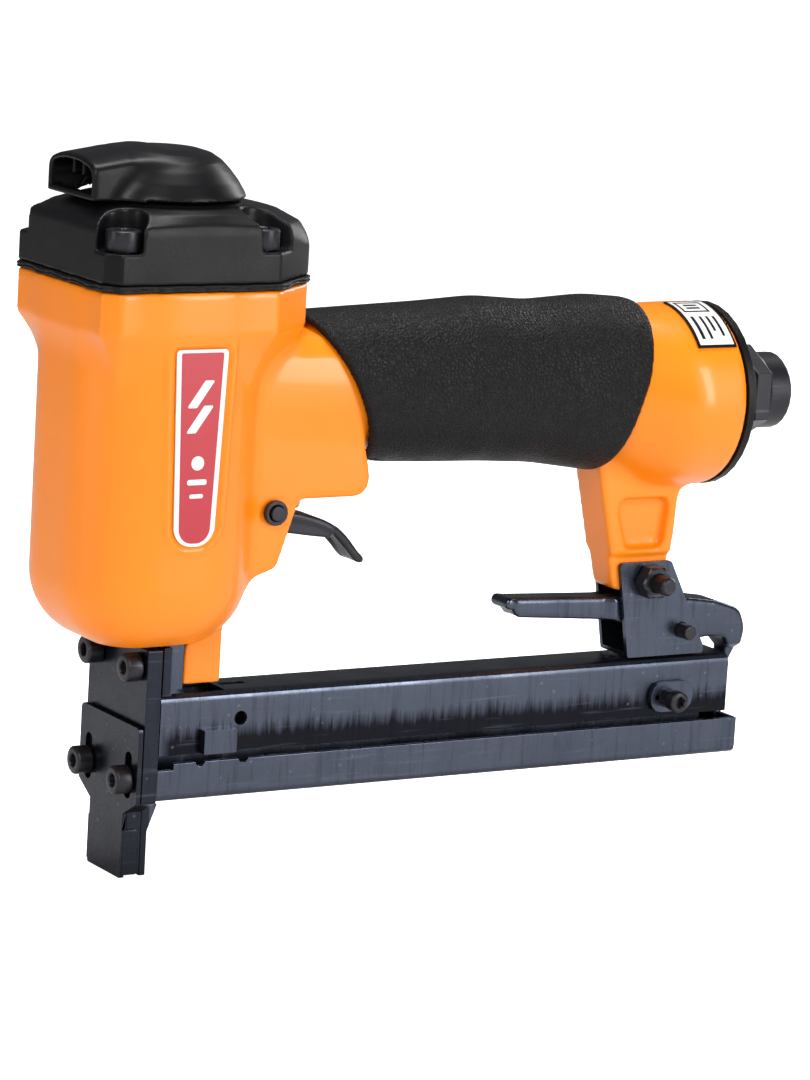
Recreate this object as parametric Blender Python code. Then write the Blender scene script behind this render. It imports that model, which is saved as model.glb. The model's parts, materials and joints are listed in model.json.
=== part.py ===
"""Pneumatic fine-wire staple gun: every piece of the tool as its own closed solid.

Frame: +X from the nose to the air inlet, +Z up, Y = 0 is the plane of symmetry. The origin is where the
cylinder's axis meets the plane of the nozzle's end. Driving dimensions are in millimetres; each mesh is
scaled to metres when its object is made.
"""

import math

import bmesh
import bpy
from mathutils import Matrix, Vector

MM = 0.001
GAP = 0.3            # between pieces that touch
RUN = 0.15           # running clearance of a guided piece
ROUND_STEPS = 32     # sides of a large round piece
INNER_STEPS = 24     # sides of a round piece inside the barrel
SMALL_STEPS = 12     # sides of a small round piece

# Barrel and the collar on top of it
BARREL_RADIUS = 25.0
BARREL_BOTTOM = 57.0
BARREL_ROUND = 17.0
BARREL_CORNER = 19.0     # in plan: the barrel is square with round corners, nearly round at the rear
BARREL_REAR_CORNER = 24.0
BARREL_TOP = 145.2
COLLAR_BOTTOM = 135.0
COLLAR_FRONT = -(BARREL_RADIUS + 0.6)
COLLAR_HALF_WIDTH = BARREL_RADIUS + 0.2
COLLAR_CHAMFER = 3.4
COLLAR_SIDE_END = 19.7
COLLAR_REAR = 35.5
COLLAR_REAR_HALF_WIDTH = 12.0
COLLAR_SHRINK = 0.62
COLLAR_TAPER = 17.0
LABEL_TOP_HALF = 6.9
LABEL_LOW_HALF = 5.3
LABEL_LOW = 84.8
LABEL_HIGH = 131.8
LABEL_MARGIN = 2.8       # width of the raised pad around the label
LABEL_FACE = BARREL_RADIUS + 0.3
LABEL_RECESS = 0.7
LABEL_THICKNESS = 0.4

# Cylinder, piston and driver
SLEEVE_RADIUS = 18.8
SLEEVE_WALL = 1.8
SLEEVE_BOTTOM = 66.0
SLEEVE_TOP = 142.0
SLEEVE_FLANGE = 20.9
FLANGE_HEIGHT = 3.2
LOWER_SEAT_HEIGHT = 8.0
HOUSING_FLOOR = 5.0
AIR_SPACE = 1.5
RING_SECTION = 1.6
PISTON_TOP = 137.0
PISTON_HEIGHT = 13.0
STROKE = 41.0
BLADE_WIDTH = 11.2
BLADE_THICKNESS = 1.1
BLADE_TIP = 42.0
BLADE_ROOT = 9.0
DRIVER_PIN_RADIUS = 1.5
VALVE_TRAVEL = 3.0

# Head cover and exhaust deflector
GASKET_THICKNESS = 1.6
COVER_SIDE_HEIGHT = 12.8
COVER_REAR_HEIGHT = 8.0  # the side wall is lower at the rear, where the shoulder slopes away
COVER_SHOULDER = 4.2
COVER_BOSS_RADIUS = 21.0
COVER_BOSS_HEIGHT = 0.7
COVER_ROOF = 7.0
CAVITY_RADIUS = 20.0
COVER_SCREW_FRONT = -19.5
COVER_SCREW_REAR = 17.4
COVER_SCREW_Y = 19.5
COVER_SCREW_SEAT = 154.3
COVER_SCREW_LENGTH = 20.0
POCKET_RADIUS = 5.4
EXHAUST_HOLE_RADIUS = 2.7
EXHAUST_RING = 8.6
DEFLECTOR_RADIUS = 20.6
DEFLECTOR_HEIGHT = 11.7
DEFLECTOR_RIM = 0.7
DEFLECTOR_WALL = 1.4
SPOUT_REACH = 24.0
SPOUT_HALF_WIDTH = 12.0
SPOUT_SIDE_HEIGHT = 7.2
SPOUT_HEIGHT = 10.0
DEFLECTOR_POST = 3.4

# Handle, grip and rear bell
HANDLE_STATIONS = (
    # place along X, top, bottom, half-width of the grip's outside
    (20.0, 135.4, 101.0, 15.0),
    (42.0, 136.6, 99.8, 16.4),
    (75.0, 138.0, 98.2, 17.5),
    (91.0, 139.1, 97.8, 17.5),
    (107.0, 137.8, 96.9, 17.5),
    (124.0, 138.9, 94.3, 18.6),
    (142.0, 137.4, 92.0, 20.0),
)
GRIP_WALL = 3.0
HANDLE_WALL = 3.2
OVAL_STEPS = 24
OVAL_POWER = 2.3
GRIP_ARC_TOP = (36.4, 138.5)
GRIP_ARC_BOTTOM = (56.4, 97.0)
GRIP_ARC_BULGE = 3.0
GRIP_END = ((126.0, 92.0), (126.4, 96.0), (128.2, 103.0), (130.3, 112.0), (132.6, 119.6), (134.8, 130.6),
            (136.9, 141.0))
BELL_RADIUS = 23.6
BELL_CENTRE = 112.8
BELL_STATIONS = (
    # place along X, top, bottom, half-width
    (118.0, 134.9, 99.0, 14.4),
    (124.0, 135.4, 97.6, 15.2),
    (130.0, 135.6, 95.6, 16.4),
    (134.0, 135.8, 93.4, 18.0),
    (138.0, 136.1, 91.2, 20.2),
    (142.0, 136.3, 89.8, 22.2),
    (146.0, BELL_CENTRE + BELL_RADIUS, BELL_CENTRE - BELL_RADIUS, BELL_RADIUS),
)
BELL_END = 159.4
BELL_EDGE = 1.2
BELL_WALL = 3.4
CAP_RIM = 2.0
CAP_LENGTH = 11.0
CAP_NECK = 12.0
CAP_SPIGOT = 5.0
INLET_HEX = 21.0
INLET_HEX_LENGTH = 6.0
INLET_RADIUS = 9.9
INLET_LENGTH = 12.8
INLET_BORE = 5.75
INLET_SPIGOT = 7.0
REAR_LABEL_START = 145.2
REAR_LABEL_END = 157.9
REAR_LABEL_TURN = (4.0, 52.0)

# Web, trigger and its valve
WEB_HALF_WIDTH = 12.5
WEB_UNDERSIDE = 92.0
WEB_FACET = 126.5        # height from which the web's sides slope in towards the handle
WEB_FACET_HALF = 7.5
LUG_BOTTOM = 75.3
TRIGGER_PIVOT = (28.7, 89.4)
TRIGGER_HALF_WIDTH = 5.0
TRIGGER_SLOT = 5.6
TRIGGER_BOSS = 3.6
TRIGGER_SHEET = 1.6
TRIGGER_PIN_RADIUS = 1.9
WASHER_RADIUS = 3.1
WASHER_THICKNESS = 1.5
VALVE_X = 41.5
VALVE_RADIUS = 4.6
VALVE_HEIGHT = 16.0
VALVE_LIP = 1.6
STEM_RADIUS = 1.5

# Nose
PLATE_FRONT = -5.0
PLATE_THICKNESS = 4.0
PLATE_HALF_WIDTH = 15.1
PLATE_TOP = 58.0
PLATE_WIDE_BOTTOM = 19.9
NOZZLE_HALF_WIDTH = 8.6
NOZZLE_SHOULDER = 16.2
STAPLE_SLOT_DEPTH = 1.3
COVER_PLATE = 1.5
COVER_PLATE_TOP = 38.7
FLANGE_REACH = 2.6
FLANGE_TOP = 12.0
NOSE_SCREW_Y = 10.35
NOSE_SCREW_HIGH = 52.9
NOSE_SCREW_LOW = 25.3
GUIDE_REAR = 8.7
GUIDE_TIP_REAR = 0.9
GUIDE_NECK_REAR = 1.7
GUIDE_SPIGOT = 7.4
SPIGOT_HEIGHT = 4.0
FOOT_HALF_WIDTH = 7.7
FOOT_START = 9.0
FOOT_END = 19.5
FOOT_BOTTOM = 46.8

# Magazine
CHANNEL_HALF_WIDTH = 7.7
CHANNEL_WALL = 1.3
CHANNEL_BEND = 2.2
CHANNEL_TOP = 44.5
CHANNEL_BOTTOM = 29.4
CHANNEL_START = 3.2
CHANNEL_END = 170.8
CHANNEL_ROOF_START = 21.5
CHANNEL_HOLE = (25.4, 37.5)
CHANNEL_HOLE_RADIUS = 1.8
TAB_START = 14.4
TAB_END = 23.4
TAB_TOP = 35.4
TAB_FACE = 10.0
SLIDE_HALF_WIDTH = 9.5
SLIDE_WALL = 1.3
SLIDE_TOP = 27.8
SLIDE_BOTTOM = 18.2
SLIDE_START = 2.0
SLIDE_END = CHANNEL_END + 2.6
SLIDE_NOTCHES = (13.8, 25.8)
SLIDE_NOTCH_RADIUS = 1.3
SLIDE_STEP = 4.4
CATCH_HALF_WIDTH = 2.5
CATCH_START = CHANNEL_END + 0.3
CATCH_THICKNESS = 1.3
CATCH_TOP = 44.0
RAIL_HALF_WIDTH = 4.3
RAIL_WALL = 1.1
RAIL_TOP = 38.6
RAIL_END = CHANNEL_END - 5.8
RAIL_SLOT = 1.2
RAIL_SLOT_START = 6.0
RAIL_SLOT_END = 152.0
PUSHER_HALF_WIDTH = 5.8
PUSHER_LENGTH = 14.0
PUSHER_TOP = 40.9
PUSHER_BOTTOM = 31.0
ROD_RADIUS = 1.0
ROD_HEIGHT = 29.0
SPRING_RADIUS = 1.55
SPRING_WIRE = 0.6
SLIDER_HALF = 2.9
PUSHER_TURNS = 12

# Rear bracket, leg and latch
LEG_HALF_WIDTH = 4.9
LEG_WIDE_HALF = 6.2
LEG_STEP = 72.0
LEG_BOTTOM = 62.5
BRACKET_WALL = 1.2
BRACKET_INNER = 5.1
BRACKET_BASE = 45.0
BRACKET_TOP = 70.0
BOLT = (144.8, 65.2)
BOLT_RADIUS = 2.5
NUT_FLATS = 8.0
NUT_HEIGHT = 4.0
LATCH_PIVOT = (156.0, 51.5)
LATCH_PIN_RADIUS = 2.0
LATCH_HALF_WIDTH = 4.7
TONGUE_HALF_WIDTH = 3.8
HOOK_HALF_WIDTH = 2.8
LATCH_SHEET = 1.2
LATCH_SPRING_X = 146.5
STOP_CENTRE = (152.4, 34.7)
STOP_SIZE = (13.0, 8.0)
STOP_THICKNESS = 1.4
STOP_SCREW = (151.3, 34.3)
STOP_HOLE_X = 148.0

# Socket head screws: head radius, head height, hexagon across flats, shank radius
M5 = (4.25, 5.0, 4.0, 2.5)
M4 = (3.5, 4.0, 3.0, 2.0)
M3 = (2.75, 3.0, 2.5, 1.5)

MATERIALS = {
    # name: colour, roughness, metallic
    "orange_paint": ((0.95, 0.28, 0.015), 0.32, 0.0),
    "black_casting": ((0.012, 0.012, 0.014), 0.42, 0.0),
    "black_plastic": ((0.012, 0.012, 0.013), 0.38, 0.0),
    "grip_rubber": ((0.010, 0.010, 0.011), 0.72, 0.0),
    "seal_rubber": ((0.008, 0.008, 0.008), 0.60, 0.0),
    "bumper_rubber": ((0.030, 0.028, 0.026), 0.65, 0.0),
    "blued_steel": ((0.050, 0.060, 0.085), 0.38, 0.85),
    "screw_steel": ((0.020, 0.020, 0.023), 0.35, 0.70),
    "bright_steel": ((0.55, 0.55, 0.57), 0.28, 1.0),
    "spring_steel": ((0.30, 0.30, 0.32), 0.30, 1.0),
    "aluminium": ((0.60, 0.61, 0.63), 0.32, 1.0),
    "brass": ((0.62, 0.45, 0.18), 0.30, 1.0),
    "label_red": ((0.66, 0.045, 0.085), 0.35, 0.0),
    "label_white": ((0.82, 0.82, 0.80), 0.40, 0.0),
}


# ---------------------------------------------------------------- helpers

def clear_scene():
    for obj in list(bpy.data.objects):
        bpy.data.objects.remove(obj, do_unlink=True)


def material(name):
    found = bpy.data.materials.get(name)
    if found:
        return found
    colour, roughness, metallic = MATERIALS[name]
    made = bpy.data.materials.new(name)
    made.use_nodes = True
    shader = made.node_tree.nodes["Principled BSDF"]
    shader.inputs["Base Color"].default_value = (*colour, 1.0)
    shader.inputs["Roughness"].default_value = roughness
    shader.inputs["Metallic"].default_value = metallic
    made.diffuse_color = (*colour, 1.0)
    return made


def finish(name, bm, material_name=None, smooth=35.0):
    """Closes a bmesh that was drawn in millimetres and makes it an object in metres."""
    bmesh.ops.remove_doubles(bm, verts=bm.verts, dist=1e-4)
    bmesh.ops.recalc_face_normals(bm, faces=bm.faces)
    bmesh.ops.scale(bm, vec=(MM, MM, MM), verts=bm.verts)
    mesh = bpy.data.meshes.new(name)
    bm.to_mesh(mesh)
    bm.free()
    mesh.shade_smooth()
    mesh.set_sharp_from_angle(angle=math.radians(smooth))
    obj = bpy.data.objects.new(name, mesh)
    bpy.context.scene.collection.objects.link(obj)
    if material_name:
        mesh.materials.append(material(material_name))
    return obj


def tool(bm):
    """A helper solid for a Boolean, kept out of the model itself."""
    obj = finish("tool", bm)
    obj.hide_render = True
    obj.display_type = "WIRE"
    return obj


def combine(obj, operation, shapes):
    """Booleans the object with each shape in turn; a shape is a bmesh, or a helper object of its own."""
    for shape in shapes:
        step = obj.modifiers.new(operation.lower(), "BOOLEAN")
        step.operation = operation
        step.solver = "EXACT"
        step.object = shape if isinstance(shape, bpy.types.Object) else tool(shape)
    return obj


def cut(obj, *shapes):
    return combine(obj, "DIFFERENCE", shapes)


def fuse(obj, *shapes):
    return combine(obj, "UNION", shapes)


def keep_inside(obj, *shapes):
    return combine(obj, "INTERSECT", shapes)


def placed(axis, a, b, along):
    """A point given across an axis (a, b) and along it, as X, Y, Z."""
    return {"X": (along, a, b), "Y": (a, along, b), "Z": (a, b, along)}[axis]


def prism(outline, start, end, axis="Z"):
    """An outline across the axis, extruded from start to end along it."""
    bm = bmesh.new()
    face = bm.faces.new([bm.verts.new(placed(axis, a, b, start)) for a, b in outline])
    made = bmesh.ops.extrude_face_region(bm, geom=[face])["geom"]
    moved = [part for part in made if isinstance(part, bmesh.types.BMVert)]
    bmesh.ops.translate(bm, vec=placed(axis, 0.0, 0.0, end - start), verts=moved)
    return bm


def block(low, high):
    return prism(rectangle(low[0], low[1], high[0], high[1]), low[2], high[2])


def rectangle(left, low, right, high):
    return [(left, low), (right, low), (right, high), (left, high)]


def rounded(points, radius, steps=3):
    """The polygon with each corner replaced by an arc; radius is one value, or one for each corner."""
    radii = radius if isinstance(radius, (list, tuple)) else [radius] * len(points)
    result = []
    for index, corner in enumerate(points):
        here = Vector(corner)
        before = (Vector(points[index - 1]) - here).normalized()
        after = (Vector(points[(index + 1) % len(points)]) - here).normalized()
        size = radii[index]
        half = math.acos(max(-1.0, min(1.0, before.dot(after)))) / 2
        if size <= 0.0 or half > math.radians(89):
            result.append(tuple(here))
            continue
        centre = here + (before + after).normalized() * size / math.sin(half)
        first = here + before * size / math.tan(half) - centre
        last = here + after * size / math.tan(half) - centre
        turn = math.atan2(first.x * last.y - first.y * last.x, first.dot(last))
        for step in range(steps + 1):
            angle = turn * step / steps
            cosine, sine = math.cos(angle), math.sin(angle)
            result.append((centre.x + first.x * cosine - first.y * sine,
                           centre.y + first.x * sine + first.y * cosine))
    return result


def arc(centre, radius, start, end, steps):
    """Points on an arc, angles in degrees, both ends included."""
    angles = [math.radians(start + (end - start) * step / steps) for step in range(steps + 1)]
    return [(centre[0] + radius * math.cos(a), centre[1] + radius * math.sin(a)) for a in angles]


def circle(centre, radius, steps=SMALL_STEPS):
    return arc(centre, radius, 0.0, 360.0, steps)[:-1]


def bulged(start, end, bulge, steps):
    """Points from start to end on an arc that stands off their chord by bulge, to the left of the way."""
    a, b = Vector(start), Vector(end)
    chord = (b - a).length
    radius = (chord * chord / 4 + bulge * bulge) / (2 * bulge)
    side = Vector((-(b - a).y, (b - a).x)).normalized()
    centre = (a + b) / 2 + side * (bulge - radius)
    first = a - centre
    turn = -2 * math.asin(chord / 2 / radius)
    points = []
    for step in range(steps + 1):
        angle = turn * step / steps
        cosine, sine = math.cos(angle), math.sin(angle)
        points.append((centre.x + first.x * cosine - first.y * sine,
                       centre.y + first.x * sine + first.y * cosine))
    return points


def turned(profile, axis="Z", centre=(0.0, 0.0), steps=ROUND_STEPS):
    """A turned solid. The profile holds (radius, place along the axis); it is a closed ring
    unless both its ends lie on the axis."""
    bm = bmesh.new()
    verts = [bm.verts.new((radius, 0.0, height)) for radius, height in profile]
    pairs = list(zip(verts, verts[1:]))
    if profile[0][0] > 0.0:
        pairs.append((verts[-1], verts[0]))
    edges = [bm.edges.new(pair) for pair in pairs]
    bmesh.ops.spin(bm, geom=verts + edges, cent=(0.0, 0.0, 0.0), axis=(0.0, 0.0, 1.0),
                   dvec=(0.0, 0.0, 0.0), angle=math.tau, steps=steps, use_merge=True, use_duplicate=False)
    bmesh.ops.remove_doubles(bm, verts=bm.verts, dist=1e-4)
    spin = {"X": Matrix.Rotation(math.pi / 2, 4, "Y"), "Y": Matrix.Rotation(-math.pi / 2, 4, "X"),
            "Z": Matrix.Identity(4)}[axis]
    bmesh.ops.transform(bm, matrix=Matrix.Translation(placed(axis, *centre, 0.0)) @ spin, verts=bm.verts)
    return bm


def rod(radius, start, end, axis="Z", centre=(0.0, 0.0), steps=SMALL_STEPS):
    return turned([(0.0, start), (radius, start), (radius, end), (0.0, end)], axis, centre, steps)


def ring(outer, inner, start, end, axis="Z", centre=(0.0, 0.0), steps=ROUND_STEPS):
    return turned([(inner, start), (outer, start), (outer, end), (inner, end)], axis, centre, steps)


def torus(radius, section, height, axis="Z", centre=(0.0, 0.0), steps=INNER_STEPS):
    return turned(circle((radius, height), section / 2, 6), axis, centre, steps)


def loft(rings, closed=False):
    """Skin over rings of equally many points; the ends are capped unless the last ring meets the first."""
    bm = bmesh.new()
    rows = [[bm.verts.new(point) for point in points] for points in rings]
    count = len(rows[0])
    for row, following in zip(rows, rows[1:] + (rows[:1] if closed else [])):
        for index in range(count):
            after = (index + 1) % count
            bm.faces.new((row[index], row[after], following[after], following[index]))
    bmesh.ops.triangulate(bm, faces=bm.faces)
    if not closed:
        bm.faces.new(rows[0])
        bm.faces.new(rows[-1])
    return bm


def coil(radius, wire, turns, start, end, axis="Z", centre=(0.0, 0.0), steps=9, sides=5):
    """A helical spring of round wire, with closed ends."""
    rings = []
    for step in range(round(turns * steps) + 1):
        angle = math.tau * step / steps
        along = start + wire / 2 + (end - start - wire) * step / (turns * steps)
        section = []
        for side in range(sides):
            around = math.tau * side / sides
            reach = radius + wire / 2 * math.cos(around)
            section.append(placed(axis, centre[0] + reach * math.cos(angle),
                                  centre[1] + reach * math.sin(angle),
                                  along + wire / 2 * math.sin(around)))
        rings.append(section)
    return loft(rings)


def polygon_ring(flats, height, count, sides=6):
    """Points spread over a regular polygon of that size across its flats."""
    points = []
    for index in range(count):
        angle = math.tau * index / count
        inside = (angle + math.pi / sides) % (math.tau / sides) - math.pi / sides
        reach = flats / 2 / math.cos(math.pi / sides) * math.cos(math.pi / sides) / math.cos(
            math.pi / sides - abs(inside))
        points.append((reach * math.cos(angle), reach * math.sin(angle), height))
    return points


def round_ring(radius, height, count):
    return [(radius * math.cos(math.tau * i / count), radius * math.sin(math.tau * i / count), height)
            for i in range(count)]


def socket_screw(name, size, length, seat, direction):
    """A socket head cap screw: seat is the point under the head, direction is the way that the head faces."""
    head, height, flats, shank = size
    count = SMALL_STEPS
    rings = [round_ring(shank * 0.8, -length, count), round_ring(shank, -length + shank * 0.3, count),
             round_ring(shank, 0.0, count), round_ring(head, 0.0, count),
             round_ring(head, height * 0.92, count), round_ring(head * 0.93, height, count),
             polygon_ring(flats, height, count), polygon_ring(flats, height * 0.45, count)]
    bm = loft(rings)
    turn = Vector((0.0, 0.0, 1.0)).rotation_difference(Vector(direction)).to_matrix().to_4x4()
    bmesh.ops.transform(bm, matrix=Matrix.Translation(seat) @ turn, verts=bm.verts)
    return finish(name, bm, "screw_steel")


def joint(name, point, pieces):
    """An empty on the joint's axis, which carries the pieces that move with it."""
    empty = bpy.data.objects.new(name, None)
    empty.empty_display_size = 0.01
    empty.location = Vector(point) * MM
    bpy.context.scene.collection.objects.link(empty)
    for piece in pieces:
        piece.parent = empty
        piece.matrix_parent_inverse = Matrix.Translation(-empty.location)
    return empty


# ---------------------------------------------------------------- shared outlines

def head_outline(inset=0.0):
    """Plan of the collar, the gasket and the head cover."""
    front = COLLAR_FRONT + inset
    half = COLLAR_HALF_WIDTH - inset
    rear = COLLAR_REAR - inset
    rear_half = COLLAR_REAR_HALF_WIDTH - inset * 0.5
    side = [(front, half - COLLAR_CHAMFER), (front + COLLAR_CHAMFER, half), (COLLAR_SIDE_END, half),
            (rear - 1.5, rear_half + 1.0), (rear, rear_half - 1.0)]
    return side + [(x, -y) for x, y in reversed(side)]


def oval_ring(station, inset, power, steps):
    """One section across X: a superellipse, which is an ellipse at power 2."""
    place, top, bottom, half = station
    centre = (top + bottom) / 2
    high = (top - bottom) / 2 - inset
    wide = half - inset
    points = []
    for step in range(steps):
        angle = math.tau * step / steps
        cosine, sine = math.cos(angle), math.sin(angle)
        points.append((place, wide * math.copysign(abs(cosine) ** (2 / power), cosine),
                       centre + high * math.copysign(abs(sine) ** (2 / power), sine)))
    return points


def handle_loft(inset, start=-math.inf, end=math.inf):
    """The handle's oval tube, inset from the grip's outside."""
    return loft([oval_ring(station, inset, OVAL_POWER, OVAL_STEPS) for station in HANDLE_STATIONS
                 if start <= station[0] <= end])


def bell_end_station(place, inset=0.0):
    return (place, BELL_CENTRE + BELL_RADIUS - inset, BELL_CENTRE - BELL_RADIUS + inset,
            BELL_RADIUS - inset)


def bell(inset=0.0):
    """The flared rear of the handle, from an oval inside the grip to the full circle."""
    stations = [*BELL_STATIONS, bell_end_station(BELL_END - BELL_EDGE), bell_end_station(BELL_END,
                                                                                         BELL_EDGE / 2)]
    return loft([oval_ring(station, inset, 2.0, ROUND_STEPS) for station in stations])


def bell_cavity():
    stations = [*BELL_STATIONS, bell_end_station(BELL_END + 1.0)]
    return loft([oval_ring(station, BELL_WALL, 2.0, ROUND_STEPS) for station in stations])


def grip_front():
    return bulged(GRIP_ARC_TOP, GRIP_ARC_BOTTOM, GRIP_ARC_BULGE, 8)


def label_outline(margin):
    """The label's outline across Y, wider by the margin; it tapers down to a round end."""
    top, low = LABEL_TOP_HALF + margin, LABEL_LOW_HALF + margin
    return rounded([(-low, LABEL_LOW - margin * 0.6), (low, LABEL_LOW - margin * 0.6),
                    (top, LABEL_HIGH + margin * 0.6),
                    (-top, LABEL_HIGH + margin * 0.6)], [low * 0.9, low * 0.9, 1.0 + margin * 0.4,
                                                         1.0 + margin * 0.4], 4)


def cover_screw_places():
    return [(x, side * COVER_SCREW_Y) for x in (COVER_SCREW_FRONT, COVER_SCREW_REAR) for side in (-1, 1)]


# ---------------------------------------------------------------- housing

def barrel_section(half):
    inset = BARREL_RADIUS - half
    front, rear = BARREL_CORNER - inset, BARREL_REAR_CORNER - inset
    return rounded(rectangle(-half, -half, half, half), [front, rear, rear, front], 7)


def web():
    """The wall between the barrel and the grip, down to the trigger's lugs; its upper sides slope in."""
    front = 12.0
    high = COLLAR_BOTTOM - 1.5
    rear = [(x - 2 * GAP, z) for x, z in reversed(grip_front()) if z < high]
    outline = rounded([(front, LUG_BOTTOM - 3.3), (21.0, LUG_BOTTOM - 3.3), (30.7, LUG_BOTTOM),
                       (36.2, WEB_UNDERSIDE), (rear[0][0] - 1.0, WEB_UNDERSIDE)] + rear + [(front, high)],
                      [0.0, 0.0, 2.5, 2.0, 3.5] + [0.0] * (len(rear) + 1))
    body = prism(outline, -WEB_HALF_WIDTH, WEB_HALF_WIDTH, "Y")
    bmesh.ops.bevel(body, geom=[e for e in body.edges if abs(e.verts[0].co.y - e.verts[1].co.y) < 1e-6],
                    offset=0.8, segments=1, affect="EDGES")
    out = WEB_HALF_WIDTH + 1.0
    facets = [prism([(side * (WEB_HALF_WIDTH + 0.01), WEB_FACET), (side * out, WEB_FACET), (side * out,
                                                                                            high + 1.0),
                     (side * WEB_FACET_HALF, high + 1.0)], front - 1.0, rear[0][0], "X") for side in (-1,
                                                                                                      1)]
    return cut(tool(body), *facets)


def main_housing():
    round_centre = (BARREL_RADIUS - BARREL_ROUND, BARREL_BOTTOM + BARREL_ROUND)
    side = arc(round_centre, BARREL_ROUND, -90.0, 0.0, 6) + [(BARREL_RADIUS, BARREL_TOP - 2.0)]
    barrel = loft([[(x, y, height) for x, y in barrel_section(half)] for half, height in side])
    housing = finish("main_housing", barrel, "orange_paint")

    outline = head_outline()
    small = [(x * COLLAR_SHRINK, y * COLLAR_SHRINK) for x, y in outline]
    collar = loft([[(x, y, COLLAR_BOTTOM - COLLAR_TAPER) for x, y in small],
                   [(x, y, COLLAR_BOTTOM) for x, y in outline],
                   [(x, y, BARREL_TOP) for x, y in outline]])
    label_pad = prism(label_outline(LABEL_MARGIN), -LABEL_FACE, -BARREL_RADIUS + 4.0, "Y")
    foot = prism(rounded(rectangle(FOOT_START, -FOOT_HALF_WIDTH, FOOT_END, FOOT_HALF_WIDTH), [0.0, 1.2, 1.2,
                                                                                              0.0]),
                 FOOT_BOTTOM, BARREL_BOTTOM + 9.0)
    leg_side = rounded([(150.7, LEG_BOTTOM), (152.5, 90.0), (152.5, 96.0), (127.0, 96.0), (128.9, 88.0),
                        (134.8, LEG_BOTTOM)], [1.0, 0.0, 0.0, 0.0, 4.0, 3.0])
    leg = prism(leg_side, -LEG_WIDE_HALF, LEG_WIDE_HALF, "Y")
    fuse(housing, collar, handle_loft(GRIP_WALL), web(), bell(), label_pad, foot, leg)

    bore = SLEEVE_RADIUS + AIR_SPACE
    floor = BARREL_BOTTOM + HOUSING_FLOOR
    ledge = SLEEVE_TOP - FLANGE_HEIGHT - GAP
    cylinder_bore = turned([
        (0.0, floor), (SLEEVE_RADIUS + GAP, floor), (SLEEVE_RADIUS + GAP, floor + LOWER_SEAT_HEIGHT),
        (bore, floor + LOWER_SEAT_HEIGHT + 1.0), (bore, ledge), (SLEEVE_FLANGE + GAP, ledge),
        (SLEEVE_FLANGE + GAP, BARREL_TOP + 1.0), (0.0, BARREL_TOP + 1.0)], steps=INNER_STEPS)
    driver_hole = rod(GUIDE_SPIGOT + GAP, BARREL_BOTTOM - 2.0, floor + 1.0, steps=24)
    nose_pocket = block((PLATE_FRONT - GAP, -PLATE_HALF_WIDTH - GAP, BARREL_BOTTOM - 5.0),
                        (FOOT_START, PLATE_HALF_WIDTH + GAP, PLATE_TOP + GAP))
    reservoir = handle_loft(GRIP_WALL + HANDLE_WALL, end=124.0)
    label_recess = prism(label_outline(GAP), -LABEL_FACE - 1.0, -LABEL_FACE + LABEL_RECESS, "Y")
    slot_top = TRIGGER_PIVOT[1] + TRIGGER_BOSS + 1.0
    trigger_slot = block((TRIGGER_PIVOT[0] - TRIGGER_BOSS - 0.8, -TRIGGER_SLOT, LUG_BOTTOM - 8.0),
                         (VALVE_X - VALVE_RADIUS - 1.2, TRIGGER_SLOT, slot_top))
    pin_hole = rod(TRIGGER_PIN_RADIUS + RUN, -WEB_HALF_WIDTH - 1.0, WEB_HALF_WIDTH + 1.0, "Y",
                   TRIGGER_PIVOT)
    valve_bore = rod(VALVE_RADIUS + GAP, WEB_UNDERSIDE - 4.0, WEB_UNDERSIDE + VALVE_HEIGHT + 2.0, "Z",
                     (VALVE_X, 0.0), 20)
    cheek_low = LEG_BOTTOM - 2.0
    leg_cheeks = [block((126.0, LEG_HALF_WIDTH, cheek_low), (156.0, LEG_WIDE_HALF + 1.0, LEG_STEP)),
                  block((126.0, -LEG_WIDE_HALF - 1.0, cheek_low), (156.0, -LEG_HALF_WIDTH, LEG_STEP))]
    window = rounded([(137.3, LEG_STEP + 1.6), (148.6, LEG_STEP + 1.6), (150.0, 86.0), (133.8, 86.0)], 1.6)
    windows = [prism(window, side * (LEG_WIDE_HALF - 3.0), side * (LEG_WIDE_HALF + 1.0),
                     "Y") for side in (-1, 1)]
    bolt_hole = rod(BOLT_RADIUS + GAP, -LEG_WIDE_HALF - 1.0, LEG_WIDE_HALF + 1.0, "Y", BOLT)
    screw_holes = [rod(M5[3] + GAP, COVER_SCREW_SEAT - COVER_SCREW_LENGTH - 1.0, BARREL_TOP + 1.0, "Z",
                       place)
                   for place in cover_screw_places()]
    return cut(housing, cylinder_bore, driver_hole, nose_pocket, reservoir, bell_cavity(), label_recess,
               trigger_slot, pin_hole, valve_bore, *leg_cheeks, *windows, bolt_hole, *screw_holes)


# ---------------------------------------------------------------- head

def gasket_bottom():
    return BARREL_TOP + GAP / 2


def cover_bottom():
    return gasket_bottom() + GASKET_THICKNESS + GAP / 2


def cover_gasket():
    start = gasket_bottom()
    gasket = finish("cover_gasket", prism(head_outline(-0.3), start, start + GASKET_THICKNESS),
                    "seal_rubber")
    top = start + GASKET_THICKNESS + 1.0
    hole = rod(SLEEVE_FLANGE + GAP, start - 1.0, top, steps=ROUND_STEPS)
    screws = [rod(M5[3] + GAP, start - 1.0, top, "Z", place) for place in cover_screw_places()]
    return cut(gasket, hole, *screws)


def cover_top():
    return cover_bottom() + COVER_SIDE_HEIGHT + COVER_SHOULDER + COVER_BOSS_HEIGHT


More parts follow.
